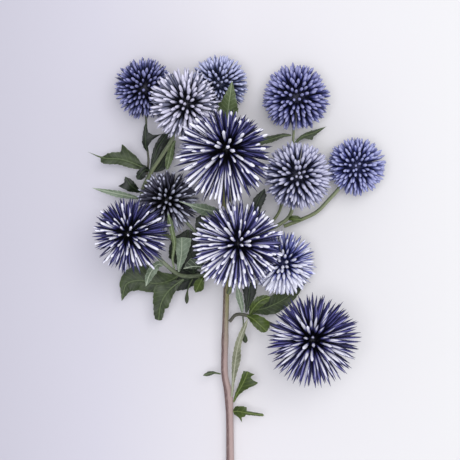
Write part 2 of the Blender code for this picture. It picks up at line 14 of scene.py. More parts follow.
import bpy
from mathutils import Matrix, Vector

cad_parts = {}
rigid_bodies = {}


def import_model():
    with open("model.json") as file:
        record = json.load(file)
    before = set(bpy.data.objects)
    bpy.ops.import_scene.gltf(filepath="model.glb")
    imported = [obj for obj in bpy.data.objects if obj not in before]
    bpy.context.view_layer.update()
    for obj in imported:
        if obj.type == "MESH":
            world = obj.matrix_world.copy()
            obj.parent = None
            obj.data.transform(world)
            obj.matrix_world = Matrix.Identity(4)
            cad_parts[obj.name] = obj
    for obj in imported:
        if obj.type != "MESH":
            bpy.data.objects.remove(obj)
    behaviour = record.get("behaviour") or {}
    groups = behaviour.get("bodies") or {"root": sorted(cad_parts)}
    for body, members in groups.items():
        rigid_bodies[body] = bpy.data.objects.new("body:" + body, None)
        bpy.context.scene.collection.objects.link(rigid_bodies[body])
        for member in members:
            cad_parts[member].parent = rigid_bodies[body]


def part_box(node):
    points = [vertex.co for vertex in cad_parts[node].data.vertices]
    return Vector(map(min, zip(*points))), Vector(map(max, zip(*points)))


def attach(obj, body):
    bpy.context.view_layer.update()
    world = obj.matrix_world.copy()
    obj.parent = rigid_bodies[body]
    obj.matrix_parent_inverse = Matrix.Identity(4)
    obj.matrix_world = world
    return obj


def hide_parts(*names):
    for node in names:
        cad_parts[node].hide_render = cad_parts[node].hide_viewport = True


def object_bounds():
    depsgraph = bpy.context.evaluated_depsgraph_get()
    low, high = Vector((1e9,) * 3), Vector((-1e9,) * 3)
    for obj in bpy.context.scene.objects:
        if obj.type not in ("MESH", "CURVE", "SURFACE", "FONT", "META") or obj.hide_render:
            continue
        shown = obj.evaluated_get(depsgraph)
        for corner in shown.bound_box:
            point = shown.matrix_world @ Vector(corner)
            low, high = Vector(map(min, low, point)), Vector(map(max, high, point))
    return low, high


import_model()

MM = 0.001
UP = Vector((0, 0, 1))
CAD_LOW, CAD_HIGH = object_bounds()

# ---------------------------------------------------------------- the spray's own sizes

CORE_SHARE = 0.42        # where a stalk ends, as a share of its head's radius
CLEARANCE = 0.3          # gap where one grown piece leaves another
LOBE_SWEEP = 0.35        # how far a lobe leans towards its leaf's tip, over its width

# Where each head's centre is, and its radius to the tips of the florets.
HEADS = {
    "head_top_left": ((-42.3, 70.0, 15.0), 15.0),
    "head_upper_left": ((-22.0, 60.5, 39.5), 17.0),
    "head_top_middle": ((-5.5, 72.2, 14.5), 14.5),
    "head_top_right": ((32.5, 65.5, 16.5), 16.5),
    "head_right": ((62.5, 31.5, 14.5), 14.5),
    "head_inner_right": ((33.0, 26.5, 26.5), 16.8),
    "head_crown": ((-3.0, 34.0, 62.5), 22.5),
    "head_inner_left": ((-30.5, 14.0, 15.5), 15.5),
    "head_left": ((-47.0, -2.4, 42.0), 18.5),
    "head_centre": ((3.6, -7.5, 45.5), 21.5),
    "head_behind_centre": ((26.5, -16.5, 16.0), 16.0),
    "head_lower_right": ((40.0, -53.0, 42.0), 22.5),
}

# A stem or stalk: what it grows from, the points it passes, the head that it carries, and
# its radius at the foot and at the head.
Stalk = namedtuple("Stalk", "parent route head foot top")
STALKS = {
    "main_stem": Stalk(None, [(1, -158, 2.1), (0.3, -136, 3), (0, -114.5, 4.5), (-0.2, -95, 6.5),
        (-0.8, -82, 8), (-2.7, -71.5, 9.2), (-2.6, -56, 11), (-1.9, -29, 13.5), (-2.2, -8, 16),
        (-3, 10, 24), (-3.3, 22, 35)], "head_crown", 2.1, 1),
    "stalk_upper_left": Stalk("main_stem", [(-2, -16, 15), (-15, -13, 10), (-29, -4.5, 7),
        (-41.5, 5.5, 4.5), (-44, 18, 6), (-39.5, 28, 12.5), (-33.5, 37, 17.5), (-27.5, 46, 24.5)],
        "head_upper_left", 1.1, 0.9),
    "stalk_top_left": Stalk("stalk_upper_left", [(-40.5, 26.5, 11.5), (-40.5, 35, 12.5),
        (-41.5, 44, 13.5), (-41.5, 53, 14.5)], "head_top_left", 0.55, 0.5),
    "stalk_inner_left": Stalk("main_stem", [(-2.2, -10, 15.8), (-12, -6, 14.5), (-19, 1, 14.5)],
        "head_inner_left", 0.9, 0.7),
    "stalk_left": Stalk("main_stem", [(-2, -21, 14.5), (-8, -21, 14.5), (-15, -22.5, 15),
        (-24, -22.5, 17), (-31, -17.5, 22), (-36.5, -11.5, 29)], "head_left", 1.1, 0.9),
    "stalk_centre": Stalk("main_stem", [(-2, -31, 13.3), (1.5, -24.5, 20), (3, -19, 28)],
        "head_centre", 1, 0.9),
    "stalk_behind_centre": Stalk("main_stem", [(-2, -26, 13.8), (6, -23.5, 13.5),
        (13, -20.5, 14.5)], "head_behind_centre", 0.8, 0.7),
    "stalk_inner_right": Stalk("main_stem", [(-2.2, -12, 15.5), (8, -6, 14), (17, -0.5, 13),
        (24, 2.5, 13), (30, 8, 14.5)], "head_inner_right", 1.1, 0.8),
    "stalk_right": Stalk("stalk_inner_right", [(25.5, 3.5, 13.2), (36, 5.5, 12.5), (43, 9, 12.5),
        (48.5, 14.5, 13), (53.5, 20, 13.5)], "head_right", 0.9, 0.9),
    "stalk_top_right": Stalk("stalk_inner_right", [(18.5, 0.3, 13), (22.5, 6, 10.5),
        (25.5, 12, 8.5), (29, 27, 7), (31, 39, 9), (31.5, 47, 12)], "head_top_right", 0.7, 0.6),
    "stalk_top_middle": Stalk("main_stem", [(-2.2, -3, 17.5), (0, 12, 14), (-2.5, 30, 12),
        (-4, 46, 12.5)], "head_top_middle", 0.8, 0.7),
    "stalk_lower_right": Stalk("main_stem", [(-2.4, -45, 12.2), (3, -42, 13.8), (8, -42.2, 14.5),
        (13, -44, 14.5), (19, -46, 16), (25, -48.5, 21.5)], "head_lower_right", 0.8, 1),
}

# A leaf: the stem it grows on, the line of its midrib, its outline as rows of (share of
# the midrib's length, width to its left, width to its right) up to its tip, its finish, and
# how far its edges lift over their width.
Leaf = namedtuple("Leaf", "stalk midrib outline finish cup", defaults=(0,))
LEAVES = {
    "leaf_upper_left": Leaf("stalk_top_left", [(-40.5, 31.5, 12), (-44, 31.5, 12.5),
        (-49.3, 33.7, 13.5), (-54.6, 35.2, 13.5), (-60.5, 35.5, 13), (-64.5, 36.3, 12),
        (-71, 39, 10)], [(0, 0.5, 0.5), (0.08, 1.8, 1.6), (0.18, 2.8, 3.8), (0.28, 3.1, 5),
        (0.39, 2.9, 7.6), (0.41, 2.8, 3.4), (0.52, 2.8, 3.2), (0.62, 2.9, 2.4), (0.7, 2.6, 0.9),
        (0.745, 0.5, 0.4)], "leaf", 0.1),
    "leaf_upper_left_low": Leaf("stalk_upper_left", [(-40, 30, 13.3), (-41.8, 29.8, 16),
        (-43.8, 28, 16.5), (-46, 25, 15.5)], [(0, 0.5, 0.5), (0.25, 2.1, 1.9), (0.55, 2.8, 2.2),
        (0.85, 1.8, 1.4)], "dark"),
    "leaf_collar": Leaf("stalk_top_left", [(-41, 39, 13), (-41.8, 42.5, 16), (-41.8, 46.5, 17),
        (-41.5, 53.5, 17)], [(0, 0.4, 0.4), (0.15, 1.2, 1), (0.3, 1.6, 3.4), (0.42, 1.5, 8),
        (0.5, 1.4, 3.6), (0.62, 1.2, 1.5), (0.8, 0.9, 0.7)], "dark"),
    "leaf_between_stalks": Leaf("stalk_upper_left", [(-39.2, 29, 13), (-37.8, 35, 11.5),
        (-35.8, 41, 12), (-32.5, 46, 13.5), (-30, 49, 15)], [(0, 0.5, 0.5), (0.25, 1.6, 1.6),
        (0.6, 2, 2), (0.8, 2, 1.8)], "dark"),
    "leaf_behind_stalks": Leaf("stalk_upper_left", [(-38.6, 28.5, 13.5), (-35, 31.5, 10.5),
        (-32.5, 37.5, 9), (-30, 46, 9.5)], [(0, 0.5, 0.5), (0.2, 2.6, 2.8), (0.5, 4, 4.6),
        (0.8, 3.4, 3.6)], "dark"),
    "leaf_beside_stalk": Leaf("stalk_upper_left", [(-28.5, 44.5, 23), (-28.5, 41, 20.5),
        (-29.8, 36, 18), (-31.3, 29.5, 16)], [(0, 0.5, 0.5), (0.3, 1.4, 1.4), (0.6, 1.9, 1.9),
        (0.85, 1.2, 1.2)], "soft", 0.1),
    "leaf_needle": Leaf("stalk_upper_left", [(-44.2, 16, 5.8), (-48.5, 16.5, 9.5),
        (-55.5, 18, 12), (-62.5, 19.5, 12), (-69, 21, 10.5)], [(0, 0.5, 0.5), (0.2, 1.2, 1.1),
        (0.45, 1.9, 1.6), (0.7, 1.2, 1)], "pale", 0.2),
    "leaf_forked": Leaf("stalk_upper_left", [(-44, 19.5, 6.8), (-46.5, 20, 11), (-49, 22, 14.5),
        (-52, 26.5, 15)], [(0, 0.5, 0.5), (0.3, 1.9, 1.6), (0.55, 3.2, 2.4), (0.72, 5.4, 2),
        (0.79, 1.9, 1.6), (0.9, 1, 0.8)], "dark"),
    "leaf_low_left": Leaf("stalk_left", [(-25, -22.3, 17.3), (-31, -25.5, 13), (-38, -26.5, 12),
        (-44.5, -25, 12), (-51, -26.5, 11.5), (-53, -31, 11), (-54, -35.5, 10)], [(0, 0.5, 0.5),
        (0.12, 2.2, 5), (0.3, 4.4, 7.6), (0.46, 5.2, 8), (0.6, 5, 7), (0.68, 4.4, 5.8),
        (0.8, 3.2, 2.4), (0.9, 1.6, 0.8)], "leaf"),
    "leaf_low_left_droop": Leaf("stalk_left", [(-22.5, -22.6, 16.8), (-27.5, -27.5, 16.5),
        (-31.5, -31.5, 15.5), (-34.3, -37, 14.5), (-35.5, -45, 13)], [(0, 0.5, 0.5),
        (0.2, 2.4, 2.6), (0.38, 3.6, 6.8), (0.5, 4, 5.4), (0.63, 4.2, 4.2), (0.7, 2.6, 3.4),
        (0.85, 2.2, 2.6), (0.95, 1.8, 1.8)], "leaf"),
    "leaf_pale_hook": Leaf("stalk_left", [(-32.5, -16, 23.8), (-35.5, -17, 28),
        (-39, -21.5, 29.5), (-41, -27.5, 29)], [(0, 0.5, 0.5), (0.2, 1.9, 1.7), (0.45, 2.5, 2.1),
        (0.75, 1.7, 1.5)], "pale", 0.1),
    "leaf_centre_upright": Leaf("stalk_left", [(-26, -21.5, 18.3), (-25, -18, 21.5),
        (-23.8, -12, 24.5), (-23.5, -3.5, 27.5)], [(0, 0.5, 0.5), (0.25, 1.3, 1.6),
        (0.5, 2.4, 2.9), (0.75, 3.6, 4.4), (0.9, 3.4, 4.6)], "pale", 0.1),
    "leaf_centre_narrow": Leaf("stalk_left", [(-28.5, -19.8, 20), (-28, -14, 27), (-27, -7, 31),
        (-27.8, -1.5, 33), (-30, 8.5, 34.5)], [(0, 0.4, 0.4), (0.3, 0.7, 0.7), (0.6, 1.1, 1.1),
        (0.85, 1.4, 1.2)], "soft"),
    # Two broad leaves low in the middle, in the darkest finish, there to give the shade between
    # the heads and leaves: painted shade.
    "leaf_centre_back": Leaf("stalk_left", [(-17.5, -22.5, 15.3), (-19, -16.5, 13),
        (-20.5, -9, 12), (-21, 0.5, 11.5)], [(0, 0.5, 0.5), (0.12, 6, 4.4), (0.3, 10.5, 5.6),
        (0.5, 10, 6), (0.7, 7.5, 5.6), (0.85, 3.6, 3.8)], "dark"),
    "leaf_centre_dark": Leaf("stalk_inner_left", [(-7.5, -7.8, 15), (-11, -3, 19),
        (-13.5, 2.5, 20.5), (-14, 8, 20.5)], [(0, 0.5, 0.5), (0.3, 3, 3), (0.6, 4, 4),
        (0.85, 2.6, 2.6)], "dark"),
    "leaf_centre_left": Leaf("main_stem", [(-3, 9, 23.5), (-7.5, 9, 30), (-12.5, 10, 34),
        (-17.5, 11.5, 36.5), (-25, 14, 38)], [(0, 0.5, 0.5), (0.25, 2.2, 2.2), (0.45, 3.1, 2.8),
        (0.62, 2, 1.8), (0.75, 0.7, 0.7)], "pale"),
    "leaf_olive": Leaf("stalk_left", [(-13.5, -22.2, 15), (-14, -24.5, 17.5), (-15.2, -27, 16.5),
        (-17.2, -31, 14.5)], [(0, 0.5, 0.5), (0.3, 2.2, 2.4), (0.55, 3, 2.6), (0.8, 1.8, 1.6)],
        "olive"),
    "leaf_fold": Leaf("stalk_left", [(-10, -21.2, 14.6), (-13, -18.5, 17.5), (-18, -18, 19),
        (-23, -19, 19.5)], [(0, 0.5, 0.5), (0.3, 1.2, 2.2), (0.6, 1.2, 4.2), (0.8, 0.8, 2.2)],
        "rimmed"),
    "leaf_low_middle": Leaf("stalk_left", [(-12, -21.8, 14.7), (-16, -23, 11), (-22, -25, 9),
        (-31, -28, 8.5)], [(0, 0.5, 0.5), (0.2, 3, 3.6), (0.5, 4.6, 6.4), (0.8, 3.6, 5)], "dark"),
    "leaf_top_centre": Leaf("stalk_top_middle", [(-3.8, 45, 12.5), (-2, 51, 20), (-1, 58, 27),
        (0, 65, 31), (1, 72.5, 32.5)], [(0, 0.5, 0.5), (0.2, 2, 2), (0.4, 4.2, 4.4),
        (0.53, 4.8, 5), (0.6, 5.6, 4.4), (0.64, 3.8, 4), (0.75, 2.7, 2.8), (0.88, 1.3, 1.5)],
        "soft"),
    "leaf_upper_right": Leaf("stalk_top_right", [(31.5, 47, 12), (26.5, 47, 12), (21.5, 45.5, 12),
        (16, 44, 12), (10, 41.5, 13)], [(0, 0.4, 0.4), (0.2, 1.1, 1.1), (0.5, 1.8, 1.8),
        (0.75, 1.4, 1.2)], "leaf"),
    "leaf_upper_right_tip": Leaf("stalk_top_right", [(31.2, 43, 10.3), (36, 46.5, 9),
        (42, 48.5, 9.5), (48, 51.5, 11)], [(0, 0.4, 0.4), (0.3, 1, 1.4), (0.45, 1.4, 3.2),
        (0.55, 1.5, 1.6), (0.75, 0.9, 0.8)], "leaf"),
    "leaf_between_heads": Leaf("stalk_inner_right", [(12, -3.5, 13.6), (12, 4, 18), (13, 12, 20),
        (17, 20.5, 20)], [(0, 0.5, 0.5), (0.3, 2, 2), (0.7, 2.6, 3), (0.85, 1.5, 2.6)], "dark"),
    "bract_inner_right": Leaf("stalk_inner_right", [(28, 6, 14), (31, 5.5, 17), (36, 5, 17)],
        [(0, 0.4, 0.4), (0.35, 1.9, 1.2), (0.7, 1.5, 1)], "olive"),
    "leaf_right_long": Leaf("stalk_lower_right", [(9.5, -41.9, 15.4), (13.5, -39.8, 11.5),
        (19, -38.5, 8.5), (28, -34, 5), (35, -27, 4.2), (41, -20.5, 4)], [(0, 0.5, 0.5),
        (0.12, 2.6, 2.4), (0.3, 4.8, 4.6), (0.5, 4.4, 3.8), (0.65, 3.2, 3), (0.8, 1.6, 2),
        (0.9, 0.6, 0.9)], "leaf"),
    "leaf_right_bright": Leaf("stalk_lower_right", [(9.8, -42, 15.5), (11.5, -38.5, 19.5),
        (15, -34.8, 21), (20, -33, 20)], [(0, 0.5, 0.5), (0.3, 2, 2), (0.6, 2.6, 2.6),
        (0.85, 1.7, 1.7)], "fresh"),
    "leaf_right_pale": Leaf("stalk_lower_right", [(6, -41.8, 14.7), (5.8, -38, 18.5),
        (4.8, -33.5, 21), (3.3, -27, 21.5)], [(0, 0.4, 0.4), (0.3, 1.3, 1.2), (0.65, 1.8, 1.6)],
        "pale"),
    "leaf_right_dark": Leaf("stalk_lower_right", [(7.8, -42, 15), (8.6, -37.5, 14.5),
        (9.4, -32.5, 14), (10, -26, 13.5)], [(0, 0.5, 0.5), (0.3, 1.8, 2), (0.6, 3.2, 3.4),
        (0.85, 4.2, 3.6), (0.94, 3, 2.8)], "dark"),
    "leaf_right_low": Leaf("stalk_lower_right", [(8.5, -42.2, 15.2), (11, -43.6, 19),
        (14, -46, 20.3), (18.2, -50, 19.8)], [(0, 0.5, 0.5), (0.25, 2.6, 1.8), (0.5, 4, 2.6),
        (0.75, 4.2, 2.4), (0.9, 2.4, 1.6)], "fresh"),
    "leaf_side_long": Leaf("main_stem", [(-0.8, -83, 8), (1.6, -74, 13.5), (2.7, -64.5, 16),
        (4.2, -56, 18.5), (6.9, -48.5, 20), (8.8, -43.5, 21)], [(0, 0.5, 0.5), (0.2, 0.6, 0.9),
        (0.38, 1.5, 2.1), (0.48, 1.8, 2.6), (0.62, 1.7, 1.6), (0.8, 1.5, 1.2), (0.92, 1, 0.8)],
        "sage"),
    "leaf_stem_left": Leaf("main_stem", [(-2.7, -71.5, 9.2), (-8.5, -71, 11.5),
        (-13.5, -72.3, 12)], [(0, 0.3, 0.3), (0.3, 0.5, 0.5), (0.6, 1.2, 1.2), (0.85, 0.7, 0.7)],
        "leaf"),
    "leaf_stem_fork": Leaf("main_stem", [(-0.5, -86, 7.5), (3.5, -81.5, 10.5), (6, -77, 12.5),
        (7.8, -73, 14), (9, -70, 14.5)], [(0, 0.4, 0.4), (0.2, 0.8, 0.9), (0.42, 1.4, 2.4),
        (0.55, 1.7, 3.8), (0.68, 1.9, 7), (0.75, 2.1, 3.6), (0.84, 2.3, 2.2), (0.92, 2.3, 3.4),
        (0.96, 0.9, 1.4)], "fresh"),
    "leaf_stem_right": Leaf("main_stem", [(-0.2, -90.5, 7), (4, -90.3, 10), (8.5, -90.9, 12),
        (17, -92, 12.5)], [(0, 1.2, 1.2), (0.08, 2.4, 2.6), (0.2, 2.8, 5.4), (0.27, 2.9, 2.8),
        (0.38, 2.9, 2), (0.44, 1, 1), (0.8, 0.8, 0.8), (0.94, 0.7, 0.7)], "fresh"),
}

# A small closed bud on a thread: its stalk, its line, and its radius at shares of it.
Bud = namedtuple("Bud", "stalk line radii")
BUDS = {
    "bud_pendant": Bud("stalk_left", [(-18.5, -22.7, 15.7), (-20, -27, 16), (-21.2, -31, 14),
        (-21.5, -36.5, 12)], [(0, 0.35), (0.5, 0.35), (0.8, 1), (0.92, 0.9), (1, 0.3)]),
    "bud_side": Bud("stalk_lower_right", [(6.5, -41.9, 14.2), (6.6, -45, 12.5), (6.8, -50, 13.5),
        (7.8, -56, 13)], [(0, 0.35), (0.6, 0.35), (0.85, 1.3), (0.95, 1.1), (1, 0.3)]),
}

# Knots on the main stem: (share of its length, extra radius, half length), as a bulge.
STEM_KNOTS = [(0.36, 0.35, 0.035), (0.50, 0.2, 0.02)]

# ---------------------------------------------------------------- sizes of the finer shapes

FLORET_SIDES = 6
FLORET_SHAKE = 0.12      # how far florets are shaken off their even spiral
STALK_ROOM = 0.97        # cosine of the cone round the stalk in which no floret grows

# What differs from floret to floret: an offset of its own from the seed, and its range.
FLORET_CHANCES = {
    "paleness": (1, -0.4, 0.4), "tone": (2, 0.0, 1.0), "spin": (3, -1.4, 1.4),
    "reach": (4, 0.95, 1.06), "thickness": (5, 0.82, 1.15), "bluntness": (6, 0.0, 0.5),
    "depth": (7, 0.7, 1.0),
}

# A floret's radius at shares of its length, over its head's radius: one still closed and
# sharp, one whose tip is about to open, and a short fat one of a younger head.
FLORET_SHAPES = {
    "sharp": [(0, 0.008), (0.15, 0.012), (0.35, 0.023), (0.55, 0.033), (0.70, 0.034),
              (0.84, 0.022), (0.94, 0.009), (1, 0.0015)],
    "blunt": [(0, 0.008), (0.15, 0.012), (0.35, 0.020), (0.55, 0.029), (0.74, 0.036),
              (0.88, 0.036), (0.96, 0.027), (1, 0.012)],
    "club": [(0, 0.014), (0.2, 0.019), (0.4, 0.030), (0.62, 0.043), (0.78, 0.047),
             (0.89, 0.038), (0.96, 0.019), (1, 0.004)],
}

# How a head looks: the shape of its florets apart from the sharp ones, their number, where
# they leave its heart over its radius, the share of sharp ones, how pale they are, the way
# in which they get paler, how much deeper the pale starts on those that lean out, how high
# a floret has to point to be pale at all and free of painted shade, how far the heart is off
# the head's middle over its radius, and four colours: inside, which also serves as the
# painted shade of the florets, along the florets, and at the border and the middle of
# their pale side.
Look = namedtuple("Look", "shape florets start sharp pale towards deeper rim heart colours")
LOOKS = {
    "head_top_left": Look("club", 300, 0.36, 0.1, 0.22, (0.1, -0.1, 0.1), 0.1, 0.7,
                          (0, 0, 0), ("#0d0e22", "#30355e", "#5c5f8e", "#9c9ec8")),
    "head_upper_left": Look("club", 260, 0.25, 0.1, 0.20, (0.0, 0.0, 0.25), 0.35, 0.5,
                            (0.05, 0, 0), ("#1a1c24", "#4c4f64", "#83859a", "#e8e6f4")),
    "head_top_middle": Look("club", 290, 0.36, 0.1, 0.35, (0.0, 0.3, 0.0), 0.12, 0.6,
                            (0, 0, 0), ("#1f2640", "#5a6288", "#858bae", "#cfd3f0")),
    "head_top_right": Look("club", 330, 0.40, 0.1, 0.42, (-0.1, 0.1, 0.0), 0.08, 0.7,
                           (0, 0, 0), ("#10122e", "#40447e", "#6c6fa4", "#aaacd4")),
    "head_right": Look("club", 310, 0.40, 0.1, 0.45, (0.2, -0.1, 0.0), 0.1, 0.7,
                       (0, 0, 0), ("#1c214a", "#575d9e", "#7e82b4", "#b8bce2")),
    "head_inner_right": Look("club", 300, 0.34, 0.0, 0.50, (0.3, 0.1, 0.0), 0.12, 0.6,
                             (0, 0, 0), ("#1d1f32", "#585b80", "#888aaa", "#d4d4e6")),
    "head_crown": Look("blunt", 255, 0.13, 0.40, 0.04, (-0.3, -0.15, 0.3), 0.45, 0.15,
                       (0.06, 0.165, 0), ("#05050f", "#1d1d48", "#605f9c", "#fafaff")),
    "head_inner_left": Look("club", 240, 0.2, 0.2, -0.08, (0.2, -0.4, 0.0), 0.3, 0.5,
                            (-0.05, 0.05, 0), ("#08070d", "#2a2939", "#666676", "#d2d4e4")),
    "head_left": Look("blunt", 240, 0.13, 0.45, -0.02, (0.0, -0.15, 0.45), 0.36, 0.15,
                      (-0.1, 0.03, 0), ("#04040e", "#1d1e48", "#5c5a9a", "#fafaff")),
    "head_centre": Look("blunt", 255, 0.13, 0.25, 0.14, (-0.2, -0.1, 0.3), 0.45, 0.15,
                        (0.02, 0.05, 0), ("#06061a", "#2b2b5c", "#7a78b4", "#fafaff")),
    "head_behind_centre": Look("club", 270, 0.25, 0.4, 0.38, (0.0, -0.5, 0.1), 0.3, 0.2,
                               (0, 0, 0), ("#1c2350", "#5a60a6", "#9a9ed8", "#f6f7ff")),
    "head_lower_right": Look("blunt", 265, 0.13, 0.85, 0.15, (-0.05, -0.1, 0.45), 0.42, 0.3,
                             (-0.03, 0.02, 0), ("#050514", "#2a295c", "#6866a6", "#fafaff")),
}

LEAF_ROWS = 60           # steps along a blade
LEAF_STEPS = 8           # steps from the midrib to an edge
LEAF_TIP = (1, 0, 0)     # the last row of every outline
LEAF_THICKNESS = 0.28
EDGE_THINNING = 0.7      # share of the thickness that is gone at an edge
TIP_THINNING = 0.5       # and at the tip
THINNEST_BLADE = 0.04    # a blade's least width on each side
LEAF_TEETH = 0.35        # height of the small teeth along an edge
TOOTH_PITCH = 2.6        # distance between two teeth
TOOTH_OFFSET = 0.37      # how far the right edge's teeth are off the left's, over the pitch
VEIN_PITCH = 2.4         # distance between two side veins
LEAF_RIPPLE = 0.16       # how far the edges wave up and down, over the width
RIPPLE_PITCH = 9.0
MIDRIB_DEPTH = 0.3
MIDRIB_WIDTH = 0.55

STEM_SIDES = 20
STEM_STEP = 1.2
STEM_RIBS = 7
RIB_DEPTH = 0.07         # over the stem's radius

# ---------------------------------------------------------------- view, floor and light

VIEW_HEIGHT = 840.0      # the eye over the surface, straight above the drawing's origin
VIEW_SPREAD = 0.276      # width of the view over the distance
FLOOR_SIZE = 6.0
# The floor is painted darker and a little cooler to the left, away from the key light: painted
# shade.
FLOOR_FADE = 0.14        # metres to each side over which the floor changes its shade
FLOOR_PAINTED_SHADES = [(0.0, "#c2c0c6"), (0.25, "#d2d0d5"), (0.5, "#e5e3e1"), (1.0, "#ecece5")]

# The soft lights: where from the spray's middle, how wide, both in metres, watts and tint.
SOFTBOXES = {
    "key_softbox": ((0.3, 0.3, 1.4), 0.8, 6.3, (0.98, 0.975, 1.0)),
    "top_softbox": ((-0.1, -0.05, 1.5), 0.7, 10.3, (0.925, 0.93, 1.0)),
}
AIR_COLOUR = "#eeeeff"
AIR_STRENGTH = 0.54


def frame_origin():
    """Where the drawing's origin is in the frame, from three leaf tips."""
    return Vector((
        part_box("leaf_upper_left")[0].x - LEAVES["leaf_upper_left"].midrib[-1][0] * MM,
        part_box("leaf_low_left_droop")[0].y - LEAVES["leaf_low_left_droop"].midrib[-1][1] * MM,
        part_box("leaf_centre_left")[1].z - LEAVES["leaf_centre_left"].midrib[-1][2] * MM))


ORIGIN = frame_origin()


def place(point):
    return ORIGIN + Vector(point) * MM


# ---------------------------------------------------------------- lines

class Path:
    """A smooth line through a few points, cut into short equal steps."""

    STEPS_PER_SPAN = 24

    def __init__(self, points):
        points = [Vector(p) for p in points]
        before = points[0] * 2 - points[1]
        after = points[-1] * 2 - points[-2]
        chain = [before] + points + [after]
        self.points = []
        for a, b, c, d in zip(chain, chain[1:], chain[2:], chain[3:]):
            for i in range(self.STEPS_PER_SPAN):
                self.points.append(catmull_rom(a, b, c, d, i / self.STEPS_PER_SPAN))
        self.points.append(points[-1])
        self.reach = [0.0]
        for a, b in zip(self.points, self.points[1:]):
            self.reach.append(self.reach[-1] + (b - a).length)
        self.length = self.reach[-1]

    def at(self, share):
        """The point at a share of the length, and the direction of the line there."""
        target = max(0.0, min(1.0, share)) * self.length
        i = 1
        while i < len(self.reach) - 1 and self.reach[i] < target:
            i += 1
        a, b = self.points[i - 1], self.points[i]
        step = self.reach[i] - self.reach[i - 1]
        return a.lerp(b, (target - self.reach[i - 1]) / step), (b - a).normalized()

    def nearest_share(self, point):
        point = Vector(point)
        nearest = min(range(len(self.points)), key=lambda i: (self.points[i] - point).length)
        return self.reach[nearest] / self.length


def catmull_rom(a, b, c, d, t):
    return 0.5 * (2 * b + (c - a) * t + (2 * a - 5 * b + 4 * c - d) * t ** 2
                  + (3 * b - a - 3 * c + d) * t ** 3)


def value_at(rows, share):
    """Reads a table of (share, value) rows between its rows."""
    for (t0, v0), (t1, v1) in zip(rows, rows[1:]):
        if share <= t1:
            return v0 + (v1 - v0) * (share - t0) / (t1 - t0)
    return rows[-1][1]


def stem_radius(name, share):
    stalk = STALKS[name]
    radius = stalk.foot + (stalk.top - stalk.foot) * share
    if name == "main_stem":
        for where, extra, half in STEM_KNOTS:
            radius += extra * max(0.0, 1 - ((share - where) / half) ** 2)
    return radius


def root_point(paths, parent, near, towards, child_radius):
    """The point just off the parent's skin where a piece of that radius starts."""
    share = paths[parent].nearest_share(near)
    centre, along = paths[parent].at(share)
    heading = (Vector(towards) - centre).normalized()
    lean = heading.dot(along)
    outward = (heading - along * lean).normalized()
    off_axis = stem_radius(parent, share) + CLEARANCE + child_radius * abs(lean)
    return centre + outward * off_axis


def head_axis(stalk):
    """The way from a head's centre to where its stalk comes in."""
    centre, _ = HEADS[stalk.head]
    return (Vector(stalk.route[-1]) - Vector(centre)).normalized()


def stalk_paths():
    """Every stem's line, from its parent's skin to the core of its head."""
    paths = {}
    for name, stalk in STALKS.items():
        route = [Vector(p) for p in stalk.route]
        if stalk.parent:
            route[0] = root_point(paths, stalk.parent, route[0], route[1], stalk.foot)
        centre, radius = HEADS[stalk.head]
        route.append(Vector(centre) + head_axis(stalk) * (radius * CORE_SHARE + CLEARANCE))
        paths[name] = Path(route)
    return paths


# ---------------------------------------------------------------- small tools

def colour(code):
    """An sRGB hex value as the linear colour that the shaders use."""
    shades = [int(code[i:i + 2], 16) / 255 for i in (1, 3, 5)]
    return [s / 12.92 if s <= 0.04045 else ((s + 0.055) / 1.055) ** 2.4 for s in shades] + [1]


def add(tree, kind, inputs=None, stops=(), **settings):
    """Adds a node.  An input is given a value, another node's socket, or another node,
    which stands for the first output that it has in use.  A node with a ramp is given its
    (position, hex) stops."""
    node = tree.nodes.new(kind)
    while stops and len(node.color_ramp.elements) < len(stops):
        node.color_ramp.elements.new(0.5)
    for i, (where, code) in enumerate(stops):
        node.color_ramp.elements[i].position = where
        node.color_ramp.elements[i].color = colour(code)
    for key, value in settings.items():
        setattr(node, key, value)
    for key, value in (inputs or {}).items():
        socket = node.inputs[key] if isinstance(key, int) else next(
            s for s in node.inputs if s.enabled and s.name == key)
        if isinstance(value, bpy.types.Node):
            value = next(s for s in value.outputs if s.enabled)
        if isinstance(value, bpy.types.NodeSocket):
            tree.links.new(value, socket)
        else:
            socket.default_value = value
    return node


def link(name, data):
    made = bpy.data.objects.new(name, data)
    bpy.context.scene.collection.objects.link(made)
    return made


def new_material(name, **values):
    """A material, its tree and its shader, with the shader's plain values set."""
    material = bpy.data.materials.new(name)
    material.use_nodes = True
    shader = material.node_tree.nodes["Principled BSDF"]
    for key, value in values.items():
        shader.inputs[key.replace("_", " ")].default_value = value
    return material, material.node_tree, shader


def new_shape_tree(name, inputs):
    """A Geometry Nodes tree with named inputs, the sockets that give them, and its end."""
    tree = bpy.data.node_groups.new(name, "GeometryNodeTree")
    for label, kind in inputs:
        tree.interface.new_socket(label, in_out="INPUT", socket_type="NodeSocket" + kind)
    tree.interface.new_socket("Geometry", in_out="OUTPUT", socket_type="NodeSocketGeometry")
    return tree, tree.nodes.new("NodeGroupInput").outputs, tree.nodes.new("NodeGroupOutput")


def grow(name, base, tree, values):
    """Runs a tree on an object and leaves the plain mesh that it makes."""
    modifier = base.modifiers.new(tree.name, "NODES")
    modifier.node_group = tree
    for item in tree.interface.items_tree:
        if item.name in values:
            modifier[item.identifier] = values[item.name]
    graph = bpy.context.evaluated_depsgraph_get()
    data = bpy.data.meshes.new_from_object(base.evaluated_get(graph))
    data.name = name
    base.modifiers.remove(modifier)
    bpy.data.objects.remove(base)
    return link(name, data)


def dress(piece, node):
    """Makes the piece move with the root body and hides the solid that it stands for."""
    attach(piece, "root")
    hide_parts(node)


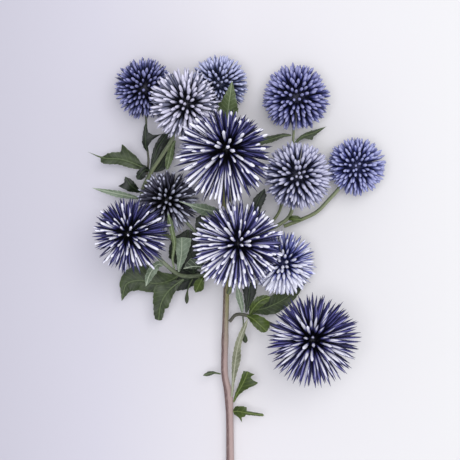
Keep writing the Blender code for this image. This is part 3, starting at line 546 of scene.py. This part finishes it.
def ring_mesh(name, rings, marks):
    """A closed skin over rings of points, with a value of each mark at every point."""
    count = len(rings[0])
    points = [point for ring in rings for point in ring]
    faces = [tuple(reversed(range(count)))]
    for j in range(len(rings) - 1):
        for i in range(count):
            a, b = j * count + i, j * count + (i + 1) % count
            faces.append((a, b, b + count, a + count))
    faces.append(tuple(range(len(points) - count, len(points))))
    data = bpy.data.meshes.new(name)
    data.from_pydata(points, [], faces)
    for mark, values in marks.items():
        data.attributes.new(mark, "FLOAT", "POINT").data.foreach_set("value", values)
    data.shade_smooth()
    data.set_sharp_from_angle(angle=math.radians(60))
    return data


# ---------------------------------------------------------------- finishes

# How much wider a paler floret's pale side is, over its radius, on each kind of head.
PALE_SIDES = {"blunt": 1.02, "club": 1.5}


def floret_skin(name, look):
    """Thistle floret: a waxy, matt, closed bud, navy inside and lilac outside, with painted
    shade on its base, on its underside and on florets that point down.
    """
    material, tree, shader = new_material(name, Roughness=0.55, IOR=1.4)
    node = partial(add, tree)
    along, side, pale, tone, deep, lit, blunt = (
        node("ShaderNodeAttribute", attribute_name=mark).outputs["Fac"]
        for mark in ("along", "side", "pale", "tone", "deep", "lit", "blunt"))

    # Fine lines along the floret, a few to its width.
    lines_at = node("ShaderNodeCombineXYZ", {"X": side, "Y": along, "Z": tone})
    lines_at = node("ShaderNodeVectorMath", {0: lines_at, 1: (3, 1.2, 40)},
                    operation="MULTIPLY")
    lines = node("ShaderNodeTexNoise", {"Vector": lines_at, "Scale": 2.0, "Detail": 3.0})

    # Painted shade: the body darkens to the inside colour towards the base, partly the floret's
    # own deep navy and partly the shade in the head's hollows, and also on its underside and on
    # florets that point down.
    depth = node("ShaderNodeMapRange", {
        "Value": along, "From Min": 0.3, "From Max": 0.85}, interpolation_type="SMOOTHSTEP")
    depth = node("ShaderNodeMath", {0: depth, 1: lit}, operation="MULTIPLY")
    shaded = node("ShaderNodeMapRange", {
        "Value": side, "From Min": -1.0, "From Max": 0.3, "To Min": 0.3})
    depth = node("ShaderNodeMath", {0: depth, 1: shaded}, operation="MULTIPLY")
    body = node("ShaderNodeMix", {
        "Factor": depth, "A": colour(look.colours[0]), "B": colour(look.colours[1])},
        data_type="RGBA")

    # The paler a floret is, the wider its pale side is and the deeper it starts.
    width = node("ShaderNodeMath", {0: pale, 1: PALE_SIDES[look.shape], 2: -1.0},
                 operation="MULTIPLY_ADD")
    spread = node("ShaderNodeMath", {0: side, 1: width})
    spread = node("ShaderNodeMath", {0: lines, 1: 0.5, 2: spread}, operation="MULTIPLY_ADD")
    end = node("ShaderNodeMapRange", {
        "Value": along, "From Min": 0.85, "From Max": 0.97, "To Max": 0.9})
    end = node("ShaderNodeMath", {0: end, 1: blunt}, operation="MULTIPLY")
    spread = node("ShaderNodeMath", {0: end, 1: spread})
    start = node("ShaderNodeMath", {0: deep, 1: along})
    # Sharp tips lose their pale, and florets that point down keep less of it, as painted shade.
    point = node("ShaderNodeMapRange", {
        "Value": along, "From Min": 0.84, "From Max": 0.97, "To Min": 1.0, "To Max": 0.15})
    point = node("ShaderNodeMath", {0: point, 1: blunt}, operation="MAXIMUM")
    point = node("ShaderNodeMath", {0: point, 1: lit}, operation="MULTIPLY")
    skin = body
    for shade, sides, ends in ((2, (-0.2, 0.2), (0.68, 0.88)), (3, (0.25, 0.5), (0.84, 1.0))):
        across = node("ShaderNodeMapRange", {
            "Value": spread, "From Min": sides[0], "From Max": sides[1]},
            interpolation_type="SMOOTHSTEP")
        reach = node("ShaderNodeMapRange", {
            "Value": start, "From Min": ends[0], "From Max": ends[1]},
            interpolation_type="SMOOTHSTEP")
        mask = node("ShaderNodeMath", {0: across, 1: reach}, operation="MULTIPLY")
        mask = node("ShaderNodeMath", {0: mask, 1: point}, operation="MULTIPLY")
        skin = node("ShaderNodeMix", {
            "Factor": mask, "A": skin, "B": colour(look.colours[shade])}, data_type="RGBA")
    tree.links.new(skin.outputs[2], shader.inputs["Base Color"])
    bump = node("ShaderNodeBump", {"Height": lines, "Strength": 0.25, "Distance": 0.0002})
    tree.links.new(bump.outputs[0], shader.inputs["Normal"])
    return material


# Leaf finishes: shade of the hollows, of the blade, and of its veins and margin.
LEAF_COLOURS = {
    "leaf": ("#1f2917", "#42502c", "#5a6843"),
    # For leaves that lie deep among the others: their own deep green, darkened further as painted
    # shade.
    "dark": ("#0c120a", "#1f2a19", "#323f27"),
    "olive": ("#26320b", "#47581a", "#64753a"),
    "fresh": ("#2b3a0c", "#485a17", "#66763a"),
    "soft": ("#3c4a2a", "#64744a", "#86946e"),
    "sage": ("#5e624a", "#8f9276", "#a9ab92"),
    "pale": ("#57664e", "#82917a", "#a3af96"),
    "rimmed": ("#1c2816", "#33422a", "#a5b097"),
    "underside": ("#5d6954", "#8d9a80", "#a9b39c"),
}


def leaf_skin(name, shades):
    """Thistle leaf: a thin leathery blade with sunk veins and a slight waxy gloss."""
    material, tree, shader = new_material(name, Roughness=0.5, IOR=1.42)
    node = partial(add, tree)
    across, along, edge = (
        node("ShaderNodeAttribute", attribute_name=mark).outputs["Fac"]
        for mark in ("across", "along", "edge"))
    at = node("ShaderNodeTexCoord").outputs["Object"]

    # Side veins leave the midrib and lean towards the tip.
    off = node("ShaderNodeMath", {0: across}, operation="ABSOLUTE")
    lean = node("ShaderNodeMath", {0: off, 1: -0.9, 2: along}, operation="MULTIPLY_ADD")
    phase = node("ShaderNodeMath", {0: lean, 1: VEIN_PITCH / 2}, operation="PINGPONG")
    vein = node("ShaderNodeMapRange", {
        "Value": phase, "From Min": 0.0, "From Max": 0.35, "To Min": 1.0, "To Max": 0.0},
        interpolation_type="SMOOTHSTEP")
    rib = node("ShaderNodeMapRange", {
        "Value": off, "From Min": 0.12, "From Max": 0.4, "To Min": 1.0, "To Max": 0.0},
        interpolation_type="SMOOTHSTEP")
    margin = node("ShaderNodeMapRange", {
        "Value": edge, "From Min": 0.88, "From Max": 1.0, "To Max": 0.6})
    veins = node("ShaderNodeMath", {0: vein, 1: 0.45, 2: rib}, operation="MULTIPLY_ADD",
                 use_clamp=True)
    lines = node("ShaderNodeMath", {0: veins, 1: margin}, operation="MAXIMUM")

    blotches = node("ShaderNodeTexNoise", {
        "Vector": at, "Scale": 160.0, "Detail": 4.0, "Roughness": 0.6})
    shade = node("ShaderNodeValToRGB", {0: blotches},
                 stops=[(0.3, shades[0]), (0.68, shades[1])])
    skin = node("ShaderNodeMix", {"Factor": lines, "A": shade, "B": colour(shades[2])},
                data_type="RGBA")
    tree.links.new(skin.outputs[2], shader.inputs["Base Color"])

    grain = node("ShaderNodeTexNoise", {"Vector": at, "Scale": 1500.0, "Detail": 2.0})
    height = node("ShaderNodeMath", {0: lines, 1: -0.8, 2: grain}, operation="MULTIPLY_ADD")
    bump = node("ShaderNodeBump", {"Height": height, "Strength": 0.5, "Distance": 0.0002})
    tree.links.new(bump.outputs[0], shader.inputs["Normal"])
    return material


# Stem finishes: the shades from foot to head on the side away from the key light, painted
# shade, those on the side towards it, +X, painted light, and that of the dry streaks.
STEM_COLOURS = {
    "bark": ([(0.0, "#6a534f"), (0.46, "#654e4a"), (0.58, "#54463a"), (1.0, "#4c5034")],
             [(0.0, "#c2aaa2"), (0.46, "#b39c94"), (0.53, "#9a907a"), (0.6, "#8c8c54"),
              (1.0, "#7d8a4c")], "#b7a398"),
    "green": ([(0.0, "#434d2e"), (1.0, "#5f6a4c")],
              [(0.0, "#76804f"), (1.0, "#979f7c")], "#a3ab8e"),
    # Darker towards the foot, where the stalk lies deep among the leaves: painted shade.
    "shaded_foot": ([(0.0, "#262e1e"), (0.45, "#343d29"), (0.62, "#55604a"), (1.0, "#626c56")],
                 [(0.0, "#465036"), (0.45, "#5a6547"), (0.62, "#8b957a"), (1.0, "#97a088")],
                 "#a3ab8e"),
    "dusky": ([(0.0, "#35302c"), (1.0, "#3a4030")],
              [(0.0, "#5c5a4c"), (1.0, "#5c644c")], "#767a66"),
    "bud": ([(0.0, "#2f3a20"), (1.0, "#242d1a")],
            [(0.0, "#4a5830"), (1.0, "#38452a")], "#6a7550"),
}
STALK_FINISHES = {
    "main_stem": "bark", "stalk_left": "shaded_foot", "stalk_inner_left": "shaded_foot",
    "stalk_top_left": "dusky", "stalk_top_middle": "dusky", "stalk_lower_right": "dusky",
}


def stem_skin(name, shades, lit_shades, streak):
    """Thistle stem: dry ribbed bark with lengthwise streaks, greener towards the heads, lighter
    on the +X side, towards the key light, as painted light, and darker on the other as painted
    shade."""
    material, tree, shader = new_material(name, Roughness=0.62, IOR=1.45)
    node = partial(add, tree)
    share = node("ShaderNodeAttribute", attribute_name="share").outputs["Fac"]
    along = node("ShaderNodeAttribute", attribute_name="along").outputs["Fac"]
    around = node("ShaderNodeAttribute", attribute_name="around").outputs["Vector"]

    # The streaks are five times as long as they are wide.
    lift = node("ShaderNodeCombineXYZ", {"Z": along})
    streak_at = node("ShaderNodeVectorMath", {0: around, 1: lift})
    streak_at = node("ShaderNodeVectorMath", {0: streak_at, 1: (3.0, 3.0, 300.0)},
                     operation="MULTIPLY")
    streaks = node("ShaderNodeTexNoise", {
        "Vector": streak_at, "Scale": 1.5, "Detail": 5.0, "Roughness": 0.65})
    bark, lit = (node("ShaderNodeValToRGB", {0: share}, stops=side)
                 for side in (shades, lit_shades))
    # Painted light and shade: the stem is lighter on its +X side, towards the key light, and
    # darker on the other side, with the streaks breaking up the border.
    painted_light_side = node("ShaderNodeSeparateXYZ", {0: node("ShaderNodeNewGeometry").outputs["Normal"]})
    painted_light_side = node("ShaderNodeMath", {0: streaks, 1: 0.6, 2: painted_light_side.outputs[0]},
                  operation="MULTIPLY_ADD")
    painted_light_side = node("ShaderNodeMapRange", {
        "Value": painted_light_side, "From Min": -0.45, "From Max": 0.85}, interpolation_type="SMOOTHSTEP")
    bark = node("ShaderNodeMix", {
        "Factor": painted_light_side, "A": bark, "B": lit.outputs[0]}, data_type="RGBA").outputs[2]
    grey = node("ShaderNodeMapRange", {
        "Value": streaks, "From Min": 0.45, "From Max": 0.7, "To Max": 0.55})
    skin = node("ShaderNodeMix", {"Factor": grey, "A": bark, "B": colour(streak)},
                data_type="RGBA")
    tree.links.new(skin.outputs[2], shader.inputs["Base Color"])
    bump = node("ShaderNodeBump", {"Height": streaks, "Strength": 0.5, "Distance": 0.0003})
    tree.links.new(bump.outputs[0], shader.inputs["Normal"])
    return material


def floor_skin():
    """Matt studio paper, darker and a little cooler on the left, as painted shade away from the
    key light.
    """
    material, tree, shader = new_material("studio_paper", Roughness=0.9)
    node = partial(add, tree)
    parts = node("ShaderNodeSeparateXYZ", {0: node("ShaderNodeTexCoord").outputs["Object"]})
    across = node("ShaderNodeMapRange", {
        "Value": parts.outputs[0], "From Min": -FLOOR_FADE, "From Max": FLOOR_FADE})
    shade = node("ShaderNodeValToRGB", {0: across}, stops=FLOOR_PAINTED_SHADES)
    tree.links.new(shade.outputs[0], shader.inputs["Base Color"])
    return material


# ---------------------------------------------------------------- heads

def floret_template(kind):
    """One floret along +Z, one unit long, as wide as it is on a head of one unit."""
    rings, along, side = [], [], []
    for share, radius in FLORET_SHAPES[kind]:
        turns = [2 * math.pi * i / FLORET_SIDES for i in range(FLORET_SIDES)]
        rings.append([(math.cos(t) * radius, math.sin(t) * radius, share) for t in turns])
        along += [share] * FLORET_SIDES
        side += [math.cos(t) for t in turns]
    if kind == "club":
        side = [0.6 + 0.4 * s for s in side]
    marks = {"along": along, "side": side, "blunt": [float(kind != "sharp")] * len(along)}
    return link("floret_" + kind, ring_mesh(kind, rings, marks))


def head_tree(templates):
    """Florets in a spiral round a ball, each one turned and sized a little apart."""
    tree, given, end = new_shape_tree("Thistle head", [
        ("Florets", "Int"), ("Centre", "Vector"), ("Radius", "Float"), ("Start", "Float"),
        ("Shake", "Float"), ("Shape", "Int"), ("Sharp", "Float"), ("Pale", "Float"),
        ("Paler Towards", "Vector"), ("Deeper", "Float"), ("Rim", "Float"),
        ("Heart", "Vector"), ("Stalk Towards", "Vector"), ("Turn", "Vector"),
        ("Seed", "Int"), ("Skin", "Material")])
    node = partial(add, tree)

    chance = {}
    for use, (offset, low, high) in FLORET_CHANCES.items():
        seed = node("ShaderNodeMath", {0: given["Seed"], 1: offset})
        chance[use] = node("FunctionNodeRandomValue", {"Min": low, "Max": high, "Seed": seed})

    # Where each floret points: a spiral of even steps over a ball, shaken and turned.
    index = node("GeometryNodeInputIndex")
    step = node("ShaderNodeMath", {0: index, 1: 2.0, 2: 1.0}, operation="MULTIPLY_ADD")
    step = node("ShaderNodeMath", {0: step, 1: given["Florets"]}, operation="DIVIDE")
    height = node("ShaderNodeMath", {0: 1.0, 1: step}, operation="SUBTRACT")
    ring = node("ShaderNodeMath", {0: height}, operation="ARCCOSINE")
    ring = node("ShaderNodeMath", {0: ring}, operation="SINE")
    angle = node("ShaderNodeMath", {0: index, 1: math.pi * (3 - math.sqrt(5))},
                 operation="MULTIPLY")
    across = [node("ShaderNodeMath", {0: node("ShaderNodeMath", {0: angle}, operation=turn),
                                      1: ring}, operation="MULTIPLY")
              for turn in ("COSINE", "SINE")]
    spot = node("ShaderNodeCombineXYZ", {"X": across[0], "Y": across[1], "Z": height})
    shake = node("FunctionNodeRandomValue", {
        "Min": (-0.5,) * 3, "Max": (0.5,) * 3, "Seed": given["Seed"]},
        data_type="FLOAT_VECTOR")
    shake = node("ShaderNodeVectorMath", {0: shake, "Scale": given["Shake"]},
                 operation="SCALE")
    spot = node("ShaderNodeVectorMath", {0: spot, 1: shake})
    spot = node("ShaderNodeVectorMath", {0: spot}, operation="NORMALIZE")
    turn = node("FunctionNodeEulerToRotation", {0: given["Turn"]})
    spot = node("FunctionNodeRotateVector", {"Vector": spot, "Rotation": turn})
    points = node("GeometryNodePoints", {"Count": given["Florets"], "Position": spot})

    # No floret grows where the stalk comes in.
    out = node("GeometryNodeInputPosition")
    stalk = node("ShaderNodeVectorMath", {0: out, 1: given["Stalk Towards"]},
                 operation="DOT_PRODUCT")
    taken = node("ShaderNodeMath", {0: stalk, 1: STALK_ROOM}, operation="GREATER_THAN")
    points = node("GeometryNodeDeleteGeometry", {"Geometry": points, "Selection": taken})

    # How pale each floret is: more so to the paler side, and, as painted light, where it points
    # up; florets that point down are darker and less pale, as painted shade.
    lean = node("ShaderNodeVectorMath", {0: out, 1: given["Paler Towards"]},
                operation="DOT_PRODUCT")
    level = node("ShaderNodeMath", {0: lean, 1: given["Pale"]})
    level = node("ShaderNodeMath", {0: level, 1: chance["paleness"]}, use_clamp=True)
    tall = node("ShaderNodeSeparateXYZ", {0: out}).outputs["Z"]
    # Painted light: florets that point nearly straight up are paler.
    painted_top_light = node("ShaderNodeMapRange", {
        "Value": tall, "From Min": 0.8, "From Max": 1.0, "To Max": 0.45})
    level = node("ShaderNodeMath", {0: level, 1: painted_top_light}, use_clamp=True)
    # Painted shade: florets that point below the rim are darker and less pale, and fully lit
    # above it.
    lit = node("ShaderNodeMapRange", {
        "Value": tall, "From Min": -0.3, "From Max": given["Rim"], "To Min": 0.35})
    level = node("ShaderNodeMath", {0: level, 1: lit}, operation="MULTIPLY")
    outward = node("ShaderNodeMath", {0: tall, 1: -1.0}, operation="MAXIMUM")
    outward = node("ShaderNodeMath", {0: outward}, operation="ARCCOSINE")
    outward = node("ShaderNodeMath", {0: outward}, operation="SINE")
    outward = node("ShaderNodeMath", {0: outward, 1: given["Deeper"]}, operation="MULTIPLY")
    outward = node("ShaderNodeMath", {0: outward, 1: chance["depth"]},
                   operation="MULTIPLY")
    deep = node("ShaderNodeMath", {0: level, 1: 0.25, 2: outward}, operation="MULTIPLY_ADD")
    for name, value in (("pale", level), ("tone", chance["tone"]), ("deep", deep),
                        ("lit", lit)):
        points = node("GeometryNodeStoreNamedAttribute", {
            "Geometry": points, "Name": name, "Value": value})

    # Each floret points outwards, with its pale side turned roughly up: the floret's own pale,
    # placed on the side towards the light as painted light.
    turned = node("FunctionNodeAlignRotationToVector", {"Vector": out}, axis="Z")
    turned = node("FunctionNodeAlignRotationToVector", {
        "Rotation": turned, "Vector": (0.0, 0.0, 1.0)}, axis="X", pivot_axis="Z")
    spin = node("ShaderNodeCombineXYZ", {"Z": chance["spin"]})
    spin = node("FunctionNodeEulerToRotation", {0: spin})
    turned = node("FunctionNodeRotateRotation", {"Rotation": turned, "Rotate By": spin},
                  rotation_space="LOCAL")

    # The heart may be off the ball's middle, and the florets still end on the ball.
    short = node("ShaderNodeVectorMath", {0: out, 1: given["Heart"]}, operation="DOT_PRODUCT")
    full = node("ShaderNodeMath", {0: 1.0, 1: short}, operation="SUBTRACT")
    full = node("ShaderNodeMath", {0: full, 1: chance["reach"]}, operation="MULTIPLY")
    long = node("ShaderNodeMath", {0: full, 1: given["Start"]}, operation="SUBTRACT")
    size = node("ShaderNodeCombineXYZ", {
        "X": chance["thickness"], "Y": chance["thickness"], "Z": long})
    size = node("ShaderNodeVectorMath", {0: size, "Scale": given["Radius"]}, operation="SCALE")

    shapes = node("GeometryNodeJoinGeometry")
    for template in reversed(templates):
        shape = node("GeometryNodeObjectInfo", {"Object": template, "As Instance": True})
        tree.links.new(shape.outputs["Geometry"], shapes.inputs[0])
    blunt = node("ShaderNodeMath", {0: level, 1: 0.5, 2: chance["bluntness"]},
                 operation="MULTIPLY_ADD")
    blunt = node("ShaderNodeMath", {0: blunt, 1: given["Sharp"]}, operation="GREATER_THAN")
    shape = node("ShaderNodeMath", {0: blunt, 1: given["Shape"]}, operation="MULTIPLY")
    florets = node("GeometryNodeInstanceOnPoints", {
        "Points": points, "Instance": shapes, "Pick Instance": True,
        "Instance Index": shape, "Rotation": turned, "Scale": size})
    reach = node("ShaderNodeMath", {0: given["Radius"], 1: given["Start"]},
                 operation="MULTIPLY")
    spread = node("ShaderNodeMath", {0: reach, 1: 1.0}, operation="SUBTRACT")
    spread = node("ShaderNodeVectorMath", {0: out, "Scale": spread}, operation="SCALE")
    heart = node("ShaderNodeVectorMath", {0: given["Heart"], "Scale": given["Radius"]},
                 operation="SCALE")
    heart = node("ShaderNodeVectorMath", {0: heart, 1: given["Centre"]})
    spread = node("ShaderNodeVectorMath", {0: spread, 1: heart})
    florets = node("GeometryNodeTranslateInstances", {
        "Instances": florets, "Translation": spread, "Local Space": False})

    # The heart: the head's own core, in the deep navy inside colour, so the gaps between the
    # florets show painted shade.
    core = node("ShaderNodeMath", {0: reach, 1: 1.1}, operation="MULTIPLY")
    core = node("GeometryNodeMeshIcoSphere", {"Radius": core, "Subdivisions": 3})
    core = node("GeometryNodeTransform", {"Geometry": core, "Translation": heart})
    whole = node("GeometryNodeJoinGeometry")
    tree.links.new(core.outputs[0], whole.inputs[0])
    tree.links.new(florets.outputs[0], whole.inputs[0])
    whole = node("GeometryNodeRealizeInstances", {"Geometry": whole})
    whole = node("GeometryNodeSetMaterial", {"Geometry": whole, "Material": given["Skin"]})
    tree.links.new(whole.outputs[0], end.inputs[0])
    return tree


def make_heads():
    templates = [floret_template(kind) for kind in FLORET_SHAPES]
    tree = head_tree(templates)
    for seed, stalk in enumerate(STALKS.values()):
        name = stalk.head
        centre, radius = HEADS[name]
        look = LOOKS[name]
        chooser = random.Random(seed)
        turn = [chooser.uniform(-math.pi, math.pi) for _ in range(3)]
        base = link(name + "_base", bpy.data.meshes.new(name))
        piece = grow(name + "_florets", base, tree, {
            "Florets": look.florets, "Centre": place(centre), "Radius": radius * MM,
            "Start": look.start, "Shake": FLORET_SHAKE, "Sharp": look.sharp,
            "Shape": list(FLORET_SHAPES).index(look.shape), "Heart": look.heart,
            "Pale": look.pale, "Paler Towards": look.towards, "Deeper": look.deeper,
            "Rim": look.rim,
            "Stalk Towards": head_axis(stalk), "Turn": turn, "Seed": seed * 10,
            "Skin": floret_skin(name + "_skin", look)})
        dress(piece, name)
    for template in templates:
        bpy.data.objects.remove(template)


# ---------------------------------------------------------------- stems and buds

def stem_tree():
    """A ribbed tube along a line, as thick as the line's own radius says."""
    tree, given, end = new_shape_tree("Ribbed stem", [
        ("Geometry", "Geometry"), ("Sides", "Int"), ("Ribs", "Int"), ("Rib Depth", "Float"),
        ("Skin", "Material")])
    node = partial(add, tree)
    ring = node("GeometryNodeCurvePrimitiveCircle", {"Resolution": given["Sides"],
                                                     "Radius": 1.0})
    around = node("GeometryNodeInputPosition")
    ring = node("GeometryNodeStoreNamedAttribute", {
        "Geometry": ring, "Name": "around", "Value": around}, data_type="FLOAT_VECTOR")
    turn = node("ShaderNodeSeparateXYZ", {0: around})
    turn = node("ShaderNodeMath", {0: turn.outputs[1], 1: turn.outputs[0]},
                operation="ARCTAN2")
    wave = node("ShaderNodeMath", {0: turn, 1: given["Ribs"]}, operation="MULTIPLY")
    wave = node("ShaderNodeMath", {0: wave}, operation="COSINE")
    wave = node("ShaderNodeMath", {0: wave, 1: given["Rib Depth"], 2: 1.0},
                operation="MULTIPLY_ADD")
    ribbed = node("ShaderNodeVectorMath", {0: around, "Scale": wave}, operation="SCALE")
    ring = node("GeometryNodeSetPosition", {"Geometry": ring, "Position": ribbed})

    spot = node("GeometryNodeSplineParameter").outputs
    line = given["Geometry"]
    for name, value in (("share", spot["Factor"]), ("along", spot["Length"])):
        line = node("GeometryNodeStoreNamedAttribute", {
            "Geometry": line, "Name": name, "Value": value})
    tube = node("GeometryNodeCurveToMesh", {
        "Curve": line, "Profile Curve": ring, "Scale": node("GeometryNodeInputRadius"),
        "Fill Caps": True})
    tube = node("GeometryNodeSetShadeSmooth", {"Geometry": tube})
    tube = node("GeometryNodeRealizeInstances", {"Geometry": tube})
    tube = node("GeometryNodeSetMaterial", {"Geometry": tube, "Material": given["Skin"]})
    tree.links.new(tube.outputs[0], end.inputs[0])
    return tree


def line_object(name, path, radius_at):
    """A line of short steps along a path, with a radius at each step."""
    count = max(16, round(path.length / STEM_STEP)) + 1
    curve = bpy.data.curves.new(name, "CURVE")
    curve.dimensions = "3D"
    spline = curve.splines.new("POLY")
    spline.points.add(count - 1)
    for i, point in enumerate(spline.points):
        share = i / (count - 1)
        spot, _ = path.at(share)
        point.co = (*place(spot), 1)
        point.radius = radius_at(share) * MM
    return link(name, curve)


def make_stems(paths):
    tree = stem_tree()
    shape = {"Sides": STEM_SIDES, "Ribs": STEM_RIBS, "Rib Depth": RIB_DEPTH}
    skins = {name: stem_skin(name + "_stem_skin", *shades)
             for name, shades in STEM_COLOURS.items()}
    for name in STALKS:
        base = line_object(name + "_line", paths[name],
                           lambda share, n=name: stem_radius(n, share))
        skin = skins[STALK_FINISHES.get(name, "green")]
        piece = grow(name + "_bark", base, tree, {**shape, "Skin": skin})
        dress(piece, name)
    for name, bud in BUDS.items():
        line = [Vector(p) for p in bud.line]
        line[0] = root_point(paths, bud.stalk, line[0], line[1], bud.radii[0][1])
        base = line_object(name + "_line", Path(line),
                           lambda share, b=bud: value_at(b.radii, share))
        piece = grow(name + "_bracts", base, tree, {**shape, "Skin": skins["bud"]})
        dress(piece, name)


# ---------------------------------------------------------------- leaves

def leaf_ring(leaf, path, share, widths, phase):
    """The points round a blade at one place: over it from left to right, and back under."""
    centre, along = path.at(share)
    across = along.cross(UP).normalized()
    upward = across.cross(along)
    thick = LEAF_THICKNESS / 2 * (1 - TIP_THINNING * share)
    top, bottom, marks = [], [], []
    for j in range(-LEAF_STEPS, LEAF_STEPS + 1):
        out = abs(j) / LEAF_STEPS
        side = -1 if j < 0 else 1
        off = widths[0 if j < 0 else 1] * out
        reach = share * path.length + LOBE_SWEEP * off
        spot, _ = path.at(min(0.995, reach / path.length))
        wave = math.sin(2 * math.pi * reach / RIPPLE_PITCH + phase + side)
        lift = leaf.cup * off + LEAF_RIPPLE * off * out * wave
        lift -= MIDRIB_DEPTH * math.exp(-(off / MIDRIB_WIDTH) ** 2) * min(1, widths[0] / 2)
        spot = spot + across * side * off + upward * lift
        half = upward * thick * (1 - EDGE_THINNING * out)
        top.append(place(spot + half))
        bottom.append(place(spot - half))
        marks.append((reach, side * off, out))
    return top + bottom[::-1], marks + marks[::-1]


def leaf_blade(name, leaf, paths):
    """A thin closed blade with lobes, small teeth, a sunk midrib and rippled edges."""
    midrib = [Vector(p) for p in leaf.midrib]
    midrib[0] = root_point(paths, leaf.stalk, midrib[0], midrib[1], leaf.outline[0][1])
    path = Path(midrib)
    outline = leaf.outline + [LEAF_TIP]
    sides = [[(row[0], row[k]) for row in outline] for k in (1, 2)]
    phase = sum(map(ord, name))
    rings, marks = [], []
    for i in range(LEAF_ROWS):
        share = 0.998 * i / (LEAF_ROWS - 1)
        widths = []
        for k, rows in enumerate(sides):
            width = max(THINNEST_BLADE, value_at(rows, share))
            tooth = (share * path.length / TOOTH_PITCH + TOOTH_OFFSET * k) % 1
            widths.append(width + LEAF_TEETH * (tooth - 0.5) * min(1, width / 2))
        ring, ring_marks = leaf_ring(leaf, path, share, widths, phase)
        rings.append(ring)
        marks += ring_marks
    names = ("along", "across", "edge")
    return ring_mesh(name, rings, {n: [m[k] for m in marks] for k, n in enumerate(names)})


def make_leaves(paths):
    skins = {name: leaf_skin("leaf_" + name, shades) for name, shades in LEAF_COLOURS.items()}
    for name, leaf in LEAVES.items():
        data = leaf_blade(name + "_blade", leaf, paths)
        data.materials.append(skins[leaf.finish])
        data.materials.append(skins["underside"])
        around = 2 * (2 * LEAF_STEPS + 1)
        for face in data.polygons[1:-1]:
            face.material_index = int((face.index - 1) % around > around // 2 - 1)
        dress(link(name + "_blade", data), name)


# ---------------------------------------------------------------- studio

def make_floor():
    half = FLOOR_SIZE / 2
    low = CAD_LOW.z
    data = bpy.data.meshes.new("studio_floor")
    data.from_pydata([(-half, -half, low), (half, -half, low), (half, half, low),
                      (-half, half, low)], [], [(0, 1, 2, 3)])
    data.materials.append(floor_skin())
    link("studio_floor", data)


def softbox(name, spot, aim, size, power, tint):
    light = bpy.data.lights.new(name, "AREA")
    light.shape = "DISK"
    light.size = size
    light.energy = power
    light.color = tint
    made = link(name, light)
    made.location = spot
    made.rotation_mode = "QUATERNION"
    made.rotation_quaternion = (Vector(spot) - Vector(aim)).to_track_quat("Z", "Y")


def make_studio():
    make_floor()
    scene = bpy.context.scene
    middle = place((0, 0, 0))
    for name, (offset, size, power, tint) in SOFTBOXES.items():
        softbox(name, middle + Vector(offset), middle, size, power, tint)
    world = bpy.data.worlds.new("studio_air")
    world.use_nodes = True
    air = world.node_tree.nodes["Background"]
    air.inputs["Color"].default_value = colour(AIR_COLOUR)
    air.inputs["Strength"].default_value = AIR_STRENGTH
    scene.world = world
    scene.view_settings.view_transform = "Standard"

    eye = bpy.data.cameras.new("eye")
    eye.lens = eye.sensor_width / VIEW_SPREAD
    eye.clip_start = 0.05
    eye.clip_end = 20.0
    camera = link("eye", eye)
    camera.location = place((0, 0, VIEW_HEIGHT))
    scene.camera = camera


paths = stalk_paths()
make_heads()
make_stems(paths)
make_leaves(paths)
make_studio()
